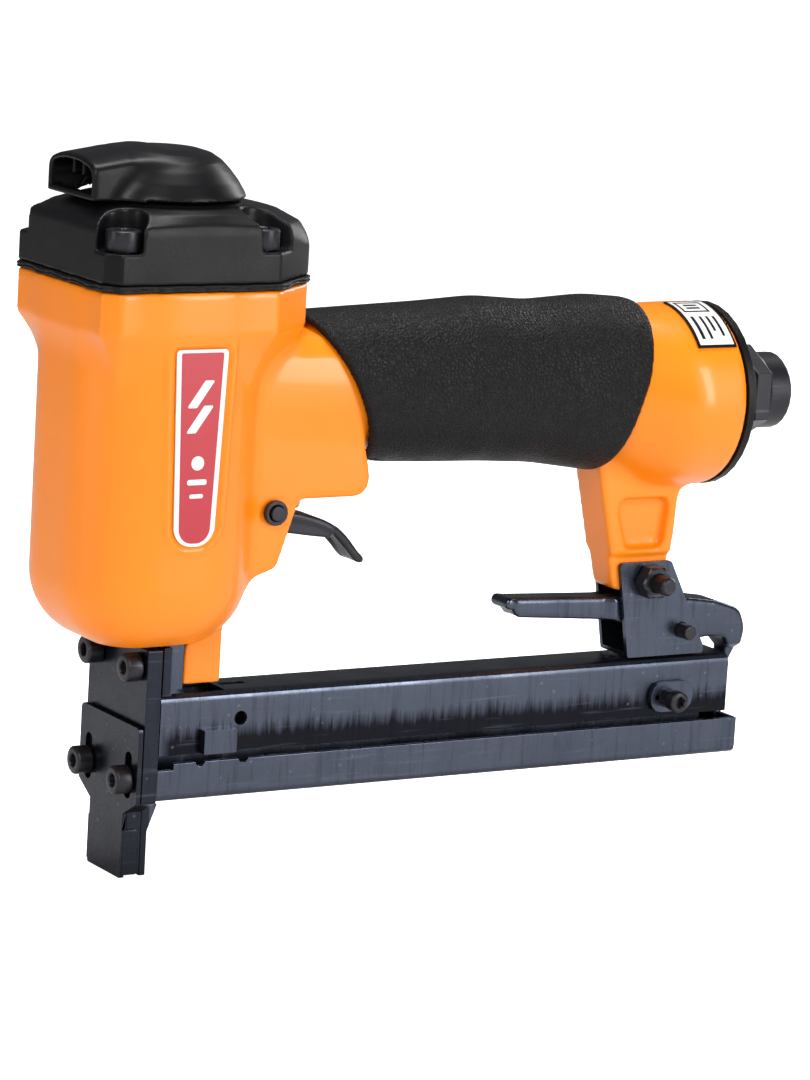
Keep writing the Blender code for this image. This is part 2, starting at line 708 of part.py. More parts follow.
def head_cover():
    base = cover_bottom()
    shoulder = base + COVER_SIDE_HEIGHT
    roof = shoulder + COVER_SHOULDER
    outline = head_outline()
    count = len(outline)
    inner = []
    for x, y in outline:
        angle = math.atan2(y, x)
        inner.append((COVER_BOSS_RADIUS * math.cos(angle), COVER_BOSS_RADIUS * math.sin(angle)))
    lowered = COVER_SIDE_HEIGHT - COVER_REAR_HEIGHT
    edge = [(x, y, shoulder - (lowered if x > COLLAR_SIDE_END + 1.0 else 0.0)) for x, y in outline]
    bend = [(x - 3.2 if x > COLLAR_SIDE_END + 1.0 else x * 0.985, y * 0.985, shoulder + 0.5) for x,
            y in outline]
    body = loft([[(x, y, base) for x, y in outline], edge, bend,
                 [((outline[i][0] * 0.45 + inner[i][0] * 0.55), (outline[i][1] * 0.45 + inner[i][1] * 0.55),
                   shoulder + COVER_SHOULDER * 0.75) for i in range(count)],
                 [(x, y, roof) for x, y in inner]])
    cover = finish("head_cover", body, "black_casting")
    boss = rod(COVER_BOSS_RADIUS - 1.5, shoulder - 2.0, cover_top(), steps=ROUND_STEPS)
    fuse(cover, boss)
    roof_under = cover_top() - COVER_ROOF
    cavity = rod(CAVITY_RADIUS, base - 1.0, roof_under, steps=ROUND_STEPS)
    reach = POCKET_RADIUS + 10.0
    pockets = []
    for x, y in cover_screw_places():
        # A round back wall behind the screw, open towards the corner.
        plan = arc((0.0, 0.0), POCKET_RADIUS, 90.0, 270.0, 8) + [(reach, -POCKET_RADIUS),
                                                                 (reach, POCKET_RADIUS)]
        turn = math.atan2(y, x)
        cosine, sine = math.cos(turn), math.sin(turn)
        pockets.append(prism([(x + a * cosine - b * sine, y + a * sine + b * cosine) for a, b in plan],
                             COVER_SCREW_SEAT, cover_top() + 2.0))
    screws = [rod(M5[3] + GAP, base - 1.0, COVER_SCREW_SEAT + 1.0, "Z", place)
              for place in cover_screw_places()]
    exhausts = [rod(EXHAUST_HOLE_RADIUS, roof_under - 1.0, cover_top() + 1.0, "Z", place)
                for place in circle((0.0, 0.0), EXHAUST_RING, 6)]
    centre_hole = rod(M4[3] + GAP, roof_under - 1.0, cover_top() + 1.0)
    return cut(cover, cavity, *pockets, *screws, *exhausts, centre_hole)


def cover_screws():
    for index, (x, y) in enumerate(cover_screw_places()):
        socket_screw(f"cover_screw_{index + 1}", M5, COVER_SCREW_LENGTH, (x, y, COVER_SCREW_SEAT + GAP),
                     (0, 0, 1))


def dome_profile(inset, base):
    """A low dome: steep above its rim and nearly flat on top."""
    height = DEFLECTOR_HEIGHT - DEFLECTOR_RIM - inset
    radius = DEFLECTOR_RADIUS - inset
    points = [(radius * math.cos(math.radians(a)) ** 0.9,
               base + DEFLECTOR_RIM + height * math.sin(math.radians(a)) ** 1.1)
              for a in (0.0, 14.0, 28.0, 42.0, 56.0, 70.0, 80.0)]
    return [(0.0, base), (radius, base)] + points + [(0.0, base + DEFLECTOR_RIM + height)]


def exhaust_deflector():
    base = cover_top() + GAP
    deflector = finish("exhaust_deflector", turned(dome_profile(0.0, base), steps=32), "black_plastic")
    half, side, top = SPOUT_HALF_WIDTH, SPOUT_SIDE_HEIGHT, SPOUT_HEIGHT
    arch = [(-half, base), (half, base), (half, base + side), (half * 0.5, base + top - 0.7),
            (0.0, base + top),
            (-half * 0.5, base + top - 0.7), (-half, base + side)]
    spout = prism(arch, -SPOUT_REACH, -2.0, "X")
    fuse(deflector, spout)
    wall = DEFLECTOR_WALL
    inner = [(-half + wall, base - 1.0), (half - wall, base - 1.0), (half - wall, base + side - wall),
             (half * 0.5, base + top - 0.7 - wall), (0.0, base + top - wall),
             (-half * 0.5, base + top - 0.7 - wall), (-half + wall, base + side - wall)]
    hollow = turned([(0.0, base - 1.0), (DEFLECTOR_RADIUS - wall, base - 1.0)]
                    + dome_profile(wall, base)[1:], steps=32)
    post = rod(DEFLECTOR_POST, base, base + DEFLECTOR_HEIGHT - wall / 2)
    cut(deflector, hollow, prism(inner, -SPOUT_REACH - 1.0, -3.0, "X"))
    fuse(deflector, post)
    return cut(deflector, rod(M4[3] + GAP, base - 1.0, base + 7.5))


def deflector_screw():
    under = cover_top() - COVER_ROOF - GAP
    socket_screw("deflector_screw", M4, COVER_ROOF + GAP + 6.0, (0.0, 0.0, under), (0, 0, -1))


def name_plate():
    back = -LABEL_FACE + LABEL_RECESS - GAP
    finish("name_plate", prism(label_outline(0.0), back - LABEL_THICKNESS, back, "Y"), "label_red")


# ---------------------------------------------------------------- cylinder, piston, driver

def cylinder_sleeve():
    inner = SLEEVE_RADIUS - SLEEVE_WALL
    groove = RING_SECTION * 0.6
    low_ring = SLEEVE_BOTTOM + LOWER_SEAT_HEIGHT / 4
    high_ring = SLEEVE_TOP - FLANGE_HEIGHT / 2
    half = RING_SECTION / 2 + RUN
    finish("cylinder_sleeve", turned([
        (inner, SLEEVE_BOTTOM), (SLEEVE_RADIUS, SLEEVE_BOTTOM), (SLEEVE_RADIUS, low_ring - half),
        (SLEEVE_RADIUS - groove, low_ring - half), (SLEEVE_RADIUS - groove, low_ring + half),
        (SLEEVE_RADIUS, low_ring + half), (SLEEVE_RADIUS, SLEEVE_TOP - FLANGE_HEIGHT),
        (SLEEVE_FLANGE, SLEEVE_TOP - FLANGE_HEIGHT), (SLEEVE_FLANGE, high_ring - half * 0.8),
        (SLEEVE_FLANGE - groove, high_ring - half * 0.8), (SLEEVE_FLANGE - groove, high_ring + half * 0.8),
        (SLEEVE_FLANGE, high_ring + half * 0.8), (SLEEVE_FLANGE, SLEEVE_TOP), (inner, SLEEVE_TOP)],
                                     steps=INNER_STEPS),
        "aluminium")
    section = groove
    finish("sleeve_oring_lower", torus(SLEEVE_RADIUS - groove / 2 + RUN / 2, section, low_ring),
           "seal_rubber")
    finish("sleeve_oring_upper", torus(SLEEVE_FLANGE - groove / 2 + RUN / 2, section, high_ring),
           "seal_rubber")


def piston_group():
    bore = SLEEVE_RADIUS - SLEEVE_WALL
    radius = bore - GAP
    low = PISTON_TOP - PISTON_HEIGHT
    groove = RING_SECTION * 0.7
    middle = PISTON_TOP - PISTON_HEIGHT * 0.35
    piston = finish("piston", turned([
        (0.0, low), (radius - 4.0, low), (radius, low + 3.0), (radius, middle - RING_SECTION / 2),
        (radius - groove, middle - RING_SECTION / 2), (radius - groove, middle + RING_SECTION / 2),
        (radius, middle + RING_SECTION / 2), (radius, PISTON_TOP), (radius - 6.0, PISTON_TOP),
        (radius - 7.0, PISTON_TOP - 2.0), (0.0, PISTON_TOP - 2.0)], steps=INNER_STEPS), "aluminium")
    ring_piece = finish("piston_oring", torus(radius - groove / 2 + RUN, groove * 0.9, middle),
                        "seal_rubber")
    back = PLATE_FRONT + PLATE_THICKNESS - RUN
    front = back - BLADE_THICKNESS
    half = BLADE_WIDTH / 2
    blade_top = low + BLADE_ROOT
    slot = block((front - RUN, -half - RUN, low - 1.0), (back + RUN, half + RUN, blade_top + RUN))
    pin_height = low + BLADE_ROOT * 0.5
    pin_hole = rod(DRIVER_PIN_RADIUS + RUN, -radius - 1.0, 7.0, "X", (0.0, pin_height))
    cut(piston, slot, pin_hole)
    blade = finish("driver_blade", block((front, -half, BLADE_TIP), (back, half, blade_top)),
                   "bright_steel")
    cut(blade, rod(DRIVER_PIN_RADIUS + RUN, front - 1.0, back + 1.0, "X", (0.0, pin_height)))
    pin = finish("driver_pin", rod(DRIVER_PIN_RADIUS, -9.0, 6.5, "X", (0.0, pin_height)), "bright_steel")
    joint("driver_stroke", (0.0, 0.0, PISTON_TOP), [piston, ring_piece, blade, pin])


def bumper():
    floor = BARREL_BOTTOM + HOUSING_FLOOR + GAP
    top = PISTON_TOP - PISTON_HEIGHT - STROKE - GAP
    inner = SLEEVE_RADIUS - SLEEVE_WALL - GAP
    finish("bumper", turned([
        (GUIDE_SPIGOT + 0.8, floor), (SLEEVE_RADIUS - 0.4, floor), (SLEEVE_RADIUS - 0.4,
                                                                    SLEEVE_BOTTOM - GAP),
        (inner, SLEEVE_BOTTOM - GAP), (inner - 2.0, top), (GUIDE_SPIGOT + 0.8, top)], steps=INNER_STEPS),
        "bumper_rubber")


def head_valve():
    low = SLEEVE_TOP + GAP
    top = low + 8.0
    outer = CAVITY_RADIUS - GAP
    valve = finish("head_valve", turned([
        (9.0, low), (outer, low), (outer, top - 2.0), (outer - 4.0, top - 2.0), (outer - 4.0, top),
        (9.0, top)], steps=INNER_STEPS), "black_plastic")
    roof_under = cover_top() - COVER_ROOF
    finish("head_valve_spring", coil(12.5, 1.4, 2.0, top + GAP, roof_under - GAP, steps=16), "spring_steel")
    joint("head_valve_lift", (0.0, 0.0, low), [valve])


# ---------------------------------------------------------------- handle and inlet

def rubber_grip():
    grip = finish("rubber_grip", handle_loft(0.0), "grip_rubber")
    front = grip_front()
    side = [(front[0][0], 145.0)] + front + [(front[-1][0], 88.0)]
    rear = [(GRIP_END[0][0], 88.0), *GRIP_END, (GRIP_END[-1][0], 145.0)]
    keep_inside(grip, prism(side + rear, -30.0, 30.0, "Y"))
    core = fuse(tool(handle_loft(GRIP_WALL - GAP)), bell(-GAP))
    return cut(grip, core)


def end_cap():
    spigot = BELL_RADIUS - BELL_WALL - GAP
    face = BELL_END + GAP
    tail = BELL_END + CAP_LENGTH
    groove = RING_SECTION * 0.6
    middle = BELL_END - CAP_SPIGOT / 2
    finish("end_cap", turned([
        (INLET_SPIGOT + GAP, BELL_END - CAP_SPIGOT), (spigot, BELL_END - CAP_SPIGOT),
        (spigot, middle - RING_SECTION / 2), (spigot - groove, middle - RING_SECTION / 2),
        (spigot - groove, middle + RING_SECTION / 2), (spigot, middle + RING_SECTION / 2),
        (spigot, face), (BELL_RADIUS, face), (BELL_RADIUS, face + CAP_RIM), (BELL_RADIUS - 2.0,
                                                                             face + CAP_RIM + 0.6),
        (CAP_NECK + 3.0, tail - 2.2), (CAP_NECK, tail), (INLET_SPIGOT + GAP, tail)],
        "X", (0.0, BELL_CENTRE)), "black_casting")
    finish("end_cap_seal", torus(spigot - groove / 2 + RUN / 2, groove, middle, "X",
                                  (0.0, BELL_CENTRE), ROUND_STEPS), "seal_rubber")


def inlet_adapter():
    start = BELL_END + CAP_LENGTH + GAP
    count = 24
    rings = [round_ring(INLET_SPIGOT, start - CAP_LENGTH - CAP_SPIGOT + 2.0, count),
             round_ring(INLET_SPIGOT, start, count),
             round_ring(INLET_HEX * 0.485, start, count),
             polygon_ring(INLET_HEX, start + 0.8, count),
             polygon_ring(INLET_HEX, start + INLET_HEX_LENGTH - 0.8, count),
             round_ring(INLET_RADIUS, start + INLET_HEX_LENGTH, count),
             round_ring(INLET_RADIUS, start + INLET_LENGTH - 0.8, count),
             round_ring(INLET_RADIUS - 0.8, start + INLET_LENGTH, count),
             round_ring(INLET_BORE, start + INLET_LENGTH, count),
             round_ring(INLET_BORE, start - CAP_LENGTH - CAP_SPIGOT + 2.0, count)]
    bm = loft(rings, closed=True)
    turn = Matrix.Translation((0.0, 0.0, BELL_CENTRE)) @ Matrix.Rotation(math.pi / 2, 4, "Y")
    bmesh.ops.transform(bm, matrix=turn, verts=bm.verts)
    finish("inlet_adapter", bm, "screw_steel")


def rear_label():
    start, end = REAR_LABEL_TURN
    low = BELL_RADIUS + GAP / 2
    high = low + LABEL_THICKNESS
    outline = (arc((0.0, BELL_CENTRE), high, 90.0 + start, 90.0 + end, 10)
               + arc((0.0, BELL_CENTRE), low, 90.0 + end, 90.0 + start, 10))
    finish("rear_label", prism(outline, REAR_LABEL_START + 1.0, REAR_LABEL_END, "X"), "label_white")


# ---------------------------------------------------------------- trigger

def trigger_group():
    px, pz = TRIGGER_PIVOT
    boss = arc(TRIGGER_PIVOT, TRIGGER_BOSS, 60.0, 280.0, 8)
    upper = [(px + 4.6, pz - 1.2), (px + 11.5, pz - 2.2), (px + 18.0, pz - 3.4), (px + 23.8, pz - 6.0),
             (px + 28.0, pz - 9.6), (px + 31.2, pz - 14.0), (px + 31.0, pz - 15.2), (px + 30.0, pz - 15.4)]
    lower = [(px + 26.8, pz - 12.2), (px + 22.4, pz - 9.4), (px + 15.0, pz - 8.2), (px + 4.4, pz - 6.4)]
    outline = upper + lower + list(reversed(boss))
    trigger = finish("trigger", prism(outline, -TRIGGER_HALF_WIDTH, TRIGGER_HALF_WIDTH, "Y"), "screw_steel")
    under = [(px + 5.5, pz - 9.6), (px + 5.5, pz - 3.6), (px + 11.5, pz - 4.0), (px + 18.0, pz - 5.2),
             (px + 22.8, pz - 7.4), (px + 26.4, pz - 10.6), (px + 29.4, pz - 15.0), (px + 28.0, pz - 17.0)]
    inside = TRIGGER_HALF_WIDTH - TRIGGER_SHEET
    cut(trigger, prism(under, -inside, inside, "Y"),
        rod(TRIGGER_PIN_RADIUS + RUN, -TRIGGER_HALF_WIDTH - 1.0, TRIGGER_HALF_WIDTH + 1.0, "Y",
            TRIGGER_PIVOT))
    joint("trigger_hinge", (px, 0.0, pz), [trigger])

    reach = WEB_HALF_WIDTH + GAP + WASHER_THICKNESS + 0.8
    finish("trigger_pin", rod(TRIGGER_PIN_RADIUS, -reach, reach, "Y", TRIGGER_PIVOT), "screw_steel")
    for name, side in (("trigger_washer_left", -1), ("trigger_washer_right", 1)):
        near = side * (WEB_HALF_WIDTH + GAP)
        far = side * (WEB_HALF_WIDTH + GAP + WASHER_THICKNESS)
        finish(name, ring(WASHER_RADIUS, TRIGGER_PIN_RADIUS + RUN, min(near, far), max(near, far), "Y",
                          TRIGGER_PIVOT, 16), "screw_steel")


def trigger_valve():
    low = WEB_UNDERSIDE - VALVE_LIP
    top = WEB_UNDERSIDE + VALVE_HEIGHT
    guide = STEM_RADIUS + RUN
    spring_room = VALVE_RADIUS - 1.6
    body = turned([(guide, low), (VALVE_RADIUS - 1.0, low), (VALVE_RADIUS, low + 0.8), (VALVE_RADIUS, top),
                   (spring_room, top), (spring_room, low + 7.0), (guide, low + 7.0)], "Z", (VALVE_X, 0.0),
                  20)
    finish("trigger_valve_body", body, "black_plastic")
    contact = TRIGGER_PIVOT[1] - 2.2 + GAP
    collar = low + 7.0 + GAP
    stem = turned([(0.0, contact), (STEM_RADIUS * 0.6, contact + 0.2), (STEM_RADIUS, contact + 0.9),
                   (STEM_RADIUS, collar), (spring_room - 0.3, collar), (spring_room - 0.3, collar + 1.2),
                   (STEM_RADIUS * 0.5, collar + 1.2), (STEM_RADIUS * 0.5, collar + 3.0),
                   (0.0, collar + 3.0)],
                  "Z", (VALVE_X, 0.0), SMALL_STEPS)
    stem_piece = finish("trigger_valve_stem", stem, "brass")
    finish("trigger_valve_spring", coil(spring_room - 0.8, 0.6, 4.0, collar + 1.2 + GAP, top, "Z",
                                        (VALVE_X, 0.0)),
           "spring_steel")
    joint("valve_stem_slide", (VALVE_X, 0.0, collar), [stem_piece])


# ---------------------------------------------------------------- nose

def nose_outline(half, narrow, top, bottom, corner):
    side = [(half, PLATE_WIDE_BOTTOM), (half, top)]
    low = [(narrow, bottom), (narrow, NOZZLE_SHOULDER)]
    right = low + side
    return rounded(right + [(-y, z) for y, z in reversed(right)],
                   [0.5, 0.0, 0.8, corner, corner, 0.8, 0.0, 0.5], 2)


def nose_plate():
    back = PLATE_FRONT + PLATE_THICKNESS
    outline = nose_outline(PLATE_HALF_WIDTH, NOZZLE_HALF_WIDTH - 0.5, PLATE_TOP - GAP, 0.6, 0.5)
    plate = finish("nose_plate", prism(outline, PLATE_FRONT, back, "X"), "blued_steel")
    half = BLADE_WIDTH / 2 + RUN
    slot = block((back - STAPLE_SLOT_DEPTH, -half, -1.0), (back + 1.0, half, PLATE_TOP + 1.0))
    holes = [rod(M4[3] + GAP, PLATE_FRONT - 1.0, back + 1.0, "X", (y, z))
             for y in (-NOSE_SCREW_Y, NOSE_SCREW_Y) for z in (NOSE_SCREW_LOW, NOSE_SCREW_HIGH)]
    return cut(plate, slot, *holes)


def nose_cover():
    back = PLATE_FRONT - GAP
    front = back - COVER_PLATE + GAP
    half = NOZZLE_HALF_WIDTH
    outline = nose_outline(PLATE_HALF_WIDTH, half, COVER_PLATE_TOP, 0.0, 1.2)
    cover = finish("nose_cover", prism(outline, front, back, "X"), "blued_steel")
    flanges = []
    for side in (-1, 1):
        inner, outer = half - 0.2, half + 0.7
        low, high = sorted((side * inner, side * outer))
        flanges.append(prism(rounded([(front, low), (front + COVER_PLATE + FLANGE_REACH, low),
                                      (front + COVER_PLATE + FLANGE_REACH, high), (front, high)],
                                     0.3, 1), 0.9, FLANGE_TOP))
    fuse(cover, *flanges)
    slots = []
    for side in (-1, 1):
        y = side * NOSE_SCREW_Y
        slot = [(y + a, b) for a, b in rounded(rectangle(-1.7, 20.5, 1.7, 32.0), 1.6, 3)]
        slots.append(prism(slot, front - 1.0, back + 1.0, "X"))
        slots.append(rod(M4[3] + GAP, front - 1.0, back + 1.0, "X", (y, NOSE_SCREW_LOW)))
    return cut(cover, *slots)


def nose_screws():
    index = 1
    for z, face, length in ((NOSE_SCREW_HIGH, PLATE_FRONT, 8.5), (NOSE_SCREW_LOW, PLATE_FRONT - COVER_PLATE,
                                                                  4.9)):
        for side in (-1, 1):
            socket_screw(f"nose_screw_{index}", M4, length, (face - GAP, side * NOSE_SCREW_Y, z),
                         (-1, 0, 0))
            index += 1


def driver_guide():
    front = PLATE_FRONT + PLATE_THICKNESS + GAP
    side = [(front, 0.0), (GUIDE_TIP_REAR, 0.0), (GUIDE_TIP_REAR, 11.0), (3.4, SLIDE_BOTTOM - 2 * GAP),
            (GUIDE_NECK_REAR, SLIDE_BOTTOM - GAP), (GUIDE_NECK_REAR, FOOT_BOTTOM - 1.0),
            (GUIDE_REAR, FOOT_BOTTOM - 1.0), (GUIDE_REAR, PLATE_TOP), (front, PLATE_TOP)]
    guide = finish("driver_guide", prism(side, -NOZZLE_HALF_WIDTH + 0.9, NOZZLE_HALF_WIDTH - 0.9, "Y"),
                   "blued_steel")
    low = FOOT_BOTTOM - 0.6
    step_one = block((front, -PLATE_HALF_WIDTH, low), (front + 2.4, PLATE_HALF_WIDTH, PLATE_TOP))
    step_two = block((front + 1.0, -PLATE_HALF_WIDTH + 2.3, low + 0.4), (front + 5.2,
                                                                         PLATE_HALF_WIDTH - 2.3, PLATE_TOP))
    spigot = cut(tool(rod(GUIDE_SPIGOT, PLATE_TOP - 2.0, PLATE_TOP + SPIGOT_HEIGHT, steps=INNER_STEPS)),
                 block((-GUIDE_SPIGOT - 1.0, -GUIDE_SPIGOT - 1.0, PLATE_TOP - 3.0),
                       (front, GUIDE_SPIGOT + 1.0, PLATE_TOP)))
    fuse(guide, step_one, step_two, spigot)
    half = BLADE_WIDTH / 2 + RUN
    blade_way = block((front - 2.0, -half, PLATE_TOP - 3.0), (front + GAP, half,
                                                              PLATE_TOP + SPIGOT_HEIGHT + 1.0))
    wide_way = block((front - GUIDE_SPIGOT - 2.0, -half, PLATE_TOP - GAP),
                     (front + GAP, half, PLATE_TOP + SPIGOT_HEIGHT + 1.0))
    feed = block((front - 1.0, -half, SLIDE_TOP), (GUIDE_NECK_REAR + 1.0, half, PUSHER_TOP + 0.6))
    holes = [rod(M4[3] + GAP, front - 1.0, GUIDE_REAR, "X", (y, NOSE_SCREW_HIGH))
             for y in (-NOSE_SCREW_Y, NOSE_SCREW_Y)]
    return cut(guide, blade_way, wide_way, feed, *holes)


# ---------------------------------------------------------------- magazine

def channel_section(half, top, bottom, bend):
    return rounded([(-half, bottom), (half, bottom), (half, top), (-half, top)], [0.0, 0.0, bend, bend])


def fixed_magazine():
    half, wall = CHANNEL_HALF_WIDTH, CHANNEL_WALL
    channel = finish("fixed_magazine", prism(channel_section(half, CHANNEL_TOP, CHANNEL_BOTTOM,
                                                             CHANNEL_BEND),
                                             CHANNEL_START, CHANNEL_END, "X"), "blued_steel")
    tabs = [block((TAB_START, min(side * TAB_FACE, side * (half - 0.5)), CHANNEL_BOTTOM + GAP / 2),
                  (TAB_END, max(side * TAB_FACE, side * (half - 0.5)), TAB_TOP)) for side in (-1, 1)]
    fuse(channel, *tabs)
    inside = prism(channel_section(half - wall, CHANNEL_TOP - wall, CHANNEL_BOTTOM - 2.0,
                                   CHANNEL_BEND - wall),
                   CHANNEL_START - 1.0, CHANNEL_END + 1.0, "X")
    roof = half - wall - 0.4
    roof_opening = block((CHANNEL_START - 1.0, -roof, CHANNEL_TOP - wall - 1.0),
                         (CHANNEL_ROOF_START, roof, CHANNEL_TOP + 1.0))
    roof_slot = block((CHANNEL_ROOF_START + 1.5, -1.2, CHANNEL_TOP - wall - 1.0),
                      (CHANNEL_ROOF_START + 8.5, 1.2, CHANNEL_TOP + 1.0))
    hole = rod(CHANNEL_HOLE_RADIUS, -half - 1.0, half + 1.0, "Y", CHANNEL_HOLE)
    screw = rod(M3[3] + GAP, -half - 1.0, 0.0, "Y", STOP_SCREW)
    return cut(channel, inside, roof_opening, roof_slot, hole, screw)


def sliding_magazine():
    half, wall = SLIDE_HALF_WIDTH, SLIDE_WALL
    section = rounded(rectangle(-half, SLIDE_BOTTOM, half, SLIDE_TOP), [2.0, 2.0, 0.0, 0.0])
    slide = finish("sliding_magazine", prism(section, SLIDE_START, SLIDE_END, "X"), "blued_steel")
    inner = rounded(rectangle(-half + wall, SLIDE_BOTTOM + wall, half - wall, SLIDE_TOP + 2.0),
                    [0.8, 0.8, 0.0, 0.0])
    inside = prism(inner, SLIDE_START - 1.0, SLIDE_END - wall, "X")
    notches = [rod(SLIDE_NOTCH_RADIUS, -half - 1.0, half + 1.0, "Y",
                   (x, SLIDE_TOP + 0.2)) for x in SLIDE_NOTCHES]
    step = block((SLIDE_START - 1.0, -half - 1.0, SLIDE_TOP - 1.6), (SLIDE_START + SLIDE_STEP, half + 1.0,
                                                                     SLIDE_TOP + 1.0))
    cut(slide, inside, *notches, step)
    root = block((CATCH_START, -CATCH_HALF_WIDTH, SLIDE_TOP - 3.0), (SLIDE_END, CATCH_HALF_WIDTH,
                                                                     SLIDE_TOP + 1.5))
    catch = block((CATCH_START, -CATCH_HALF_WIDTH, SLIDE_TOP), (CATCH_START + CATCH_THICKNESS,
                                                                CATCH_HALF_WIDTH, CATCH_TOP))
    return fuse(slide, root, catch)


def staple_rail():
    half, wall = RAIL_HALF_WIDTH, RAIL_WALL
    low = SLIDE_BOTTOM + SLIDE_WALL + GAP
    start = SLIDE_START + 0.6
    rail = finish("staple_rail", prism(channel_section(half, RAIL_TOP, low, 0.8), start, RAIL_END, "X"),
                  "blued_steel")
    inside = prism(channel_section(half - wall, RAIL_TOP - wall, low - 1.0, 0.3), start + 1.2,
                   RAIL_END - 1.2, "X")
    slot = block((RAIL_SLOT_START, -RAIL_SLOT, RAIL_TOP - wall - 1.0), (RAIL_SLOT_END, RAIL_SLOT,
                                                                        RAIL_TOP + 1.0))
    seats = rod(ROD_RADIUS + RUN, start - 1.0, RAIL_END + 1.0, "X", (0.0, ROD_HEIGHT))
    return cut(rail, inside, slot, seats)


def pusher_parts():
    start = RAIL_SLOT_START - 2.4
    end = start + PUSHER_LENGTH
    half = PUSHER_HALF_WIDTH
    inner = RAIL_HALF_WIDTH + GAP
    pusher = finish("pusher", block((start, -half, PUSHER_BOTTOM), (end, half, PUSHER_TOP)), "bright_steel")
    cut(pusher, block((start - 1.0, -inner, PUSHER_BOTTOM - 1.0), (end + 1.0, inner, RAIL_TOP + GAP)))
    web_start = RAIL_SLOT_START + GAP + 0.5
    web = block((web_start, -RAIL_SLOT + GAP, ROD_HEIGHT), (end, RAIL_SLOT - GAP, RAIL_TOP + GAP + 0.8))
    slider = block((web_start, -SLIDER_HALF, ROD_HEIGHT - SLIDER_HALF), (end, SLIDER_HALF,
                                                                         ROD_HEIGHT + SLIDER_HALF))
    fuse(pusher, web, slider)
    spring_way = SPRING_RADIUS + SPRING_WIRE / 2 + GAP
    cut(pusher, rod(spring_way, start - 2.0, end + 2.0, "X", (0.0, ROD_HEIGHT), 16))
    joint("pusher_slide", (start, 0.0, ROD_HEIGHT), [pusher])
    rail_start = SLIDE_START + 0.6
    rod_piece = finish("pusher_rod", rod(ROD_RADIUS, rail_start + 0.1, RAIL_END - 0.1, "X",
                                         (0.0, ROD_HEIGHT), 8),
                       "bright_steel")
    spring = finish("pusher_spring", coil(SPRING_RADIUS, SPRING_WIRE, PUSHER_TURNS, start + 2.0,
                                          RAIL_END - 1.2 - GAP,
                                          "X", (0.0, ROD_HEIGHT), 8, 4), "spring_steel")
    return pusher, rod_piece, spring


def magazine_slide():
    slide = sliding_magazine()
    rail = staple_rail()
    pusher, rod_piece, spring = pusher_parts()
    empty = joint("magazine_slide", (SLIDE_START, 0.0, SLIDE_BOTTOM), [slide, rail, rod_piece, spring])
    carrier = pusher.parent
    carrier.parent = empty
    carrier.matrix_parent_inverse = Matrix.Translation(-empty.location)


# ---------------------------------------------------------------- rear bracket, latch, stop plate

def rear_bracket():
    outer = BRACKET_INNER + BRACKET_WALL
    side = rounded([(139.7, BRACKET_BASE), (163.3, BRACKET_BASE), (163.3, BRACKET_BASE + 2.0),
                    (151.4, BRACKET_TOP), (135.4, BRACKET_TOP)], [0.6, 0.6, 0.5, 1.2, 1.2])
    bracket = finish("rear_bracket", prism(side, -outer, outer, "Y"), "blued_steel")
    inside = block((130.0, -BRACKET_INNER, BRACKET_BASE + BRACKET_WALL), (170.0, BRACKET_INNER,
                                                                          BRACKET_TOP + 2.0))
    bolt = rod(BOLT_RADIUS + GAP, -outer - 1.0, outer + 1.0, "Y", BOLT)
    pin = rod(LATCH_PIN_RADIUS + RUN, -outer - 1.0, outer + 1.0, "Y", LATCH_PIVOT)
    return cut(bracket, inside, bolt, pin)


def bracket_bolt():
    outer = BRACKET_INNER + BRACKET_WALL + GAP
    rings = [round_ring(BOLT_RADIUS * 0.75, -outer - NUT_HEIGHT - 5.2, SMALL_STEPS),
             round_ring(BOLT_RADIUS, -outer - NUT_HEIGHT - 4.4, SMALL_STEPS),
             round_ring(BOLT_RADIUS, outer, SMALL_STEPS),
             polygon_ring(NUT_FLATS, outer, SMALL_STEPS),
             polygon_ring(NUT_FLATS, outer + 3.2, SMALL_STEPS),
             round_ring(NUT_FLATS * 0.45, outer + 3.6, SMALL_STEPS)]
    along_y = Matrix.Translation((BOLT[0], 0.0, BOLT[1])) @ Matrix.Rotation(-math.pi / 2, 4, "X")
    bolt = loft(rings)
    bmesh.ops.transform(bolt, matrix=along_y, verts=bolt.verts)
    finish("bracket_bolt", bolt, "screw_steel")
    nut = loft([round_ring(BOLT_RADIUS + RUN, -outer - NUT_HEIGHT, SMALL_STEPS),
                round_ring(NUT_FLATS * 0.47, -outer - NUT_HEIGHT, SMALL_STEPS),
                polygon_ring(NUT_FLATS, -outer - NUT_HEIGHT + 0.6, SMALL_STEPS),
                polygon_ring(NUT_FLATS, -outer, SMALL_STEPS),
                round_ring(BOLT_RADIUS + RUN, -outer, SMALL_STEPS)], closed=True)
    bmesh.ops.transform(nut, matrix=along_y, verts=nut.verts)
    finish("bracket_nut", nut, "screw_steel")


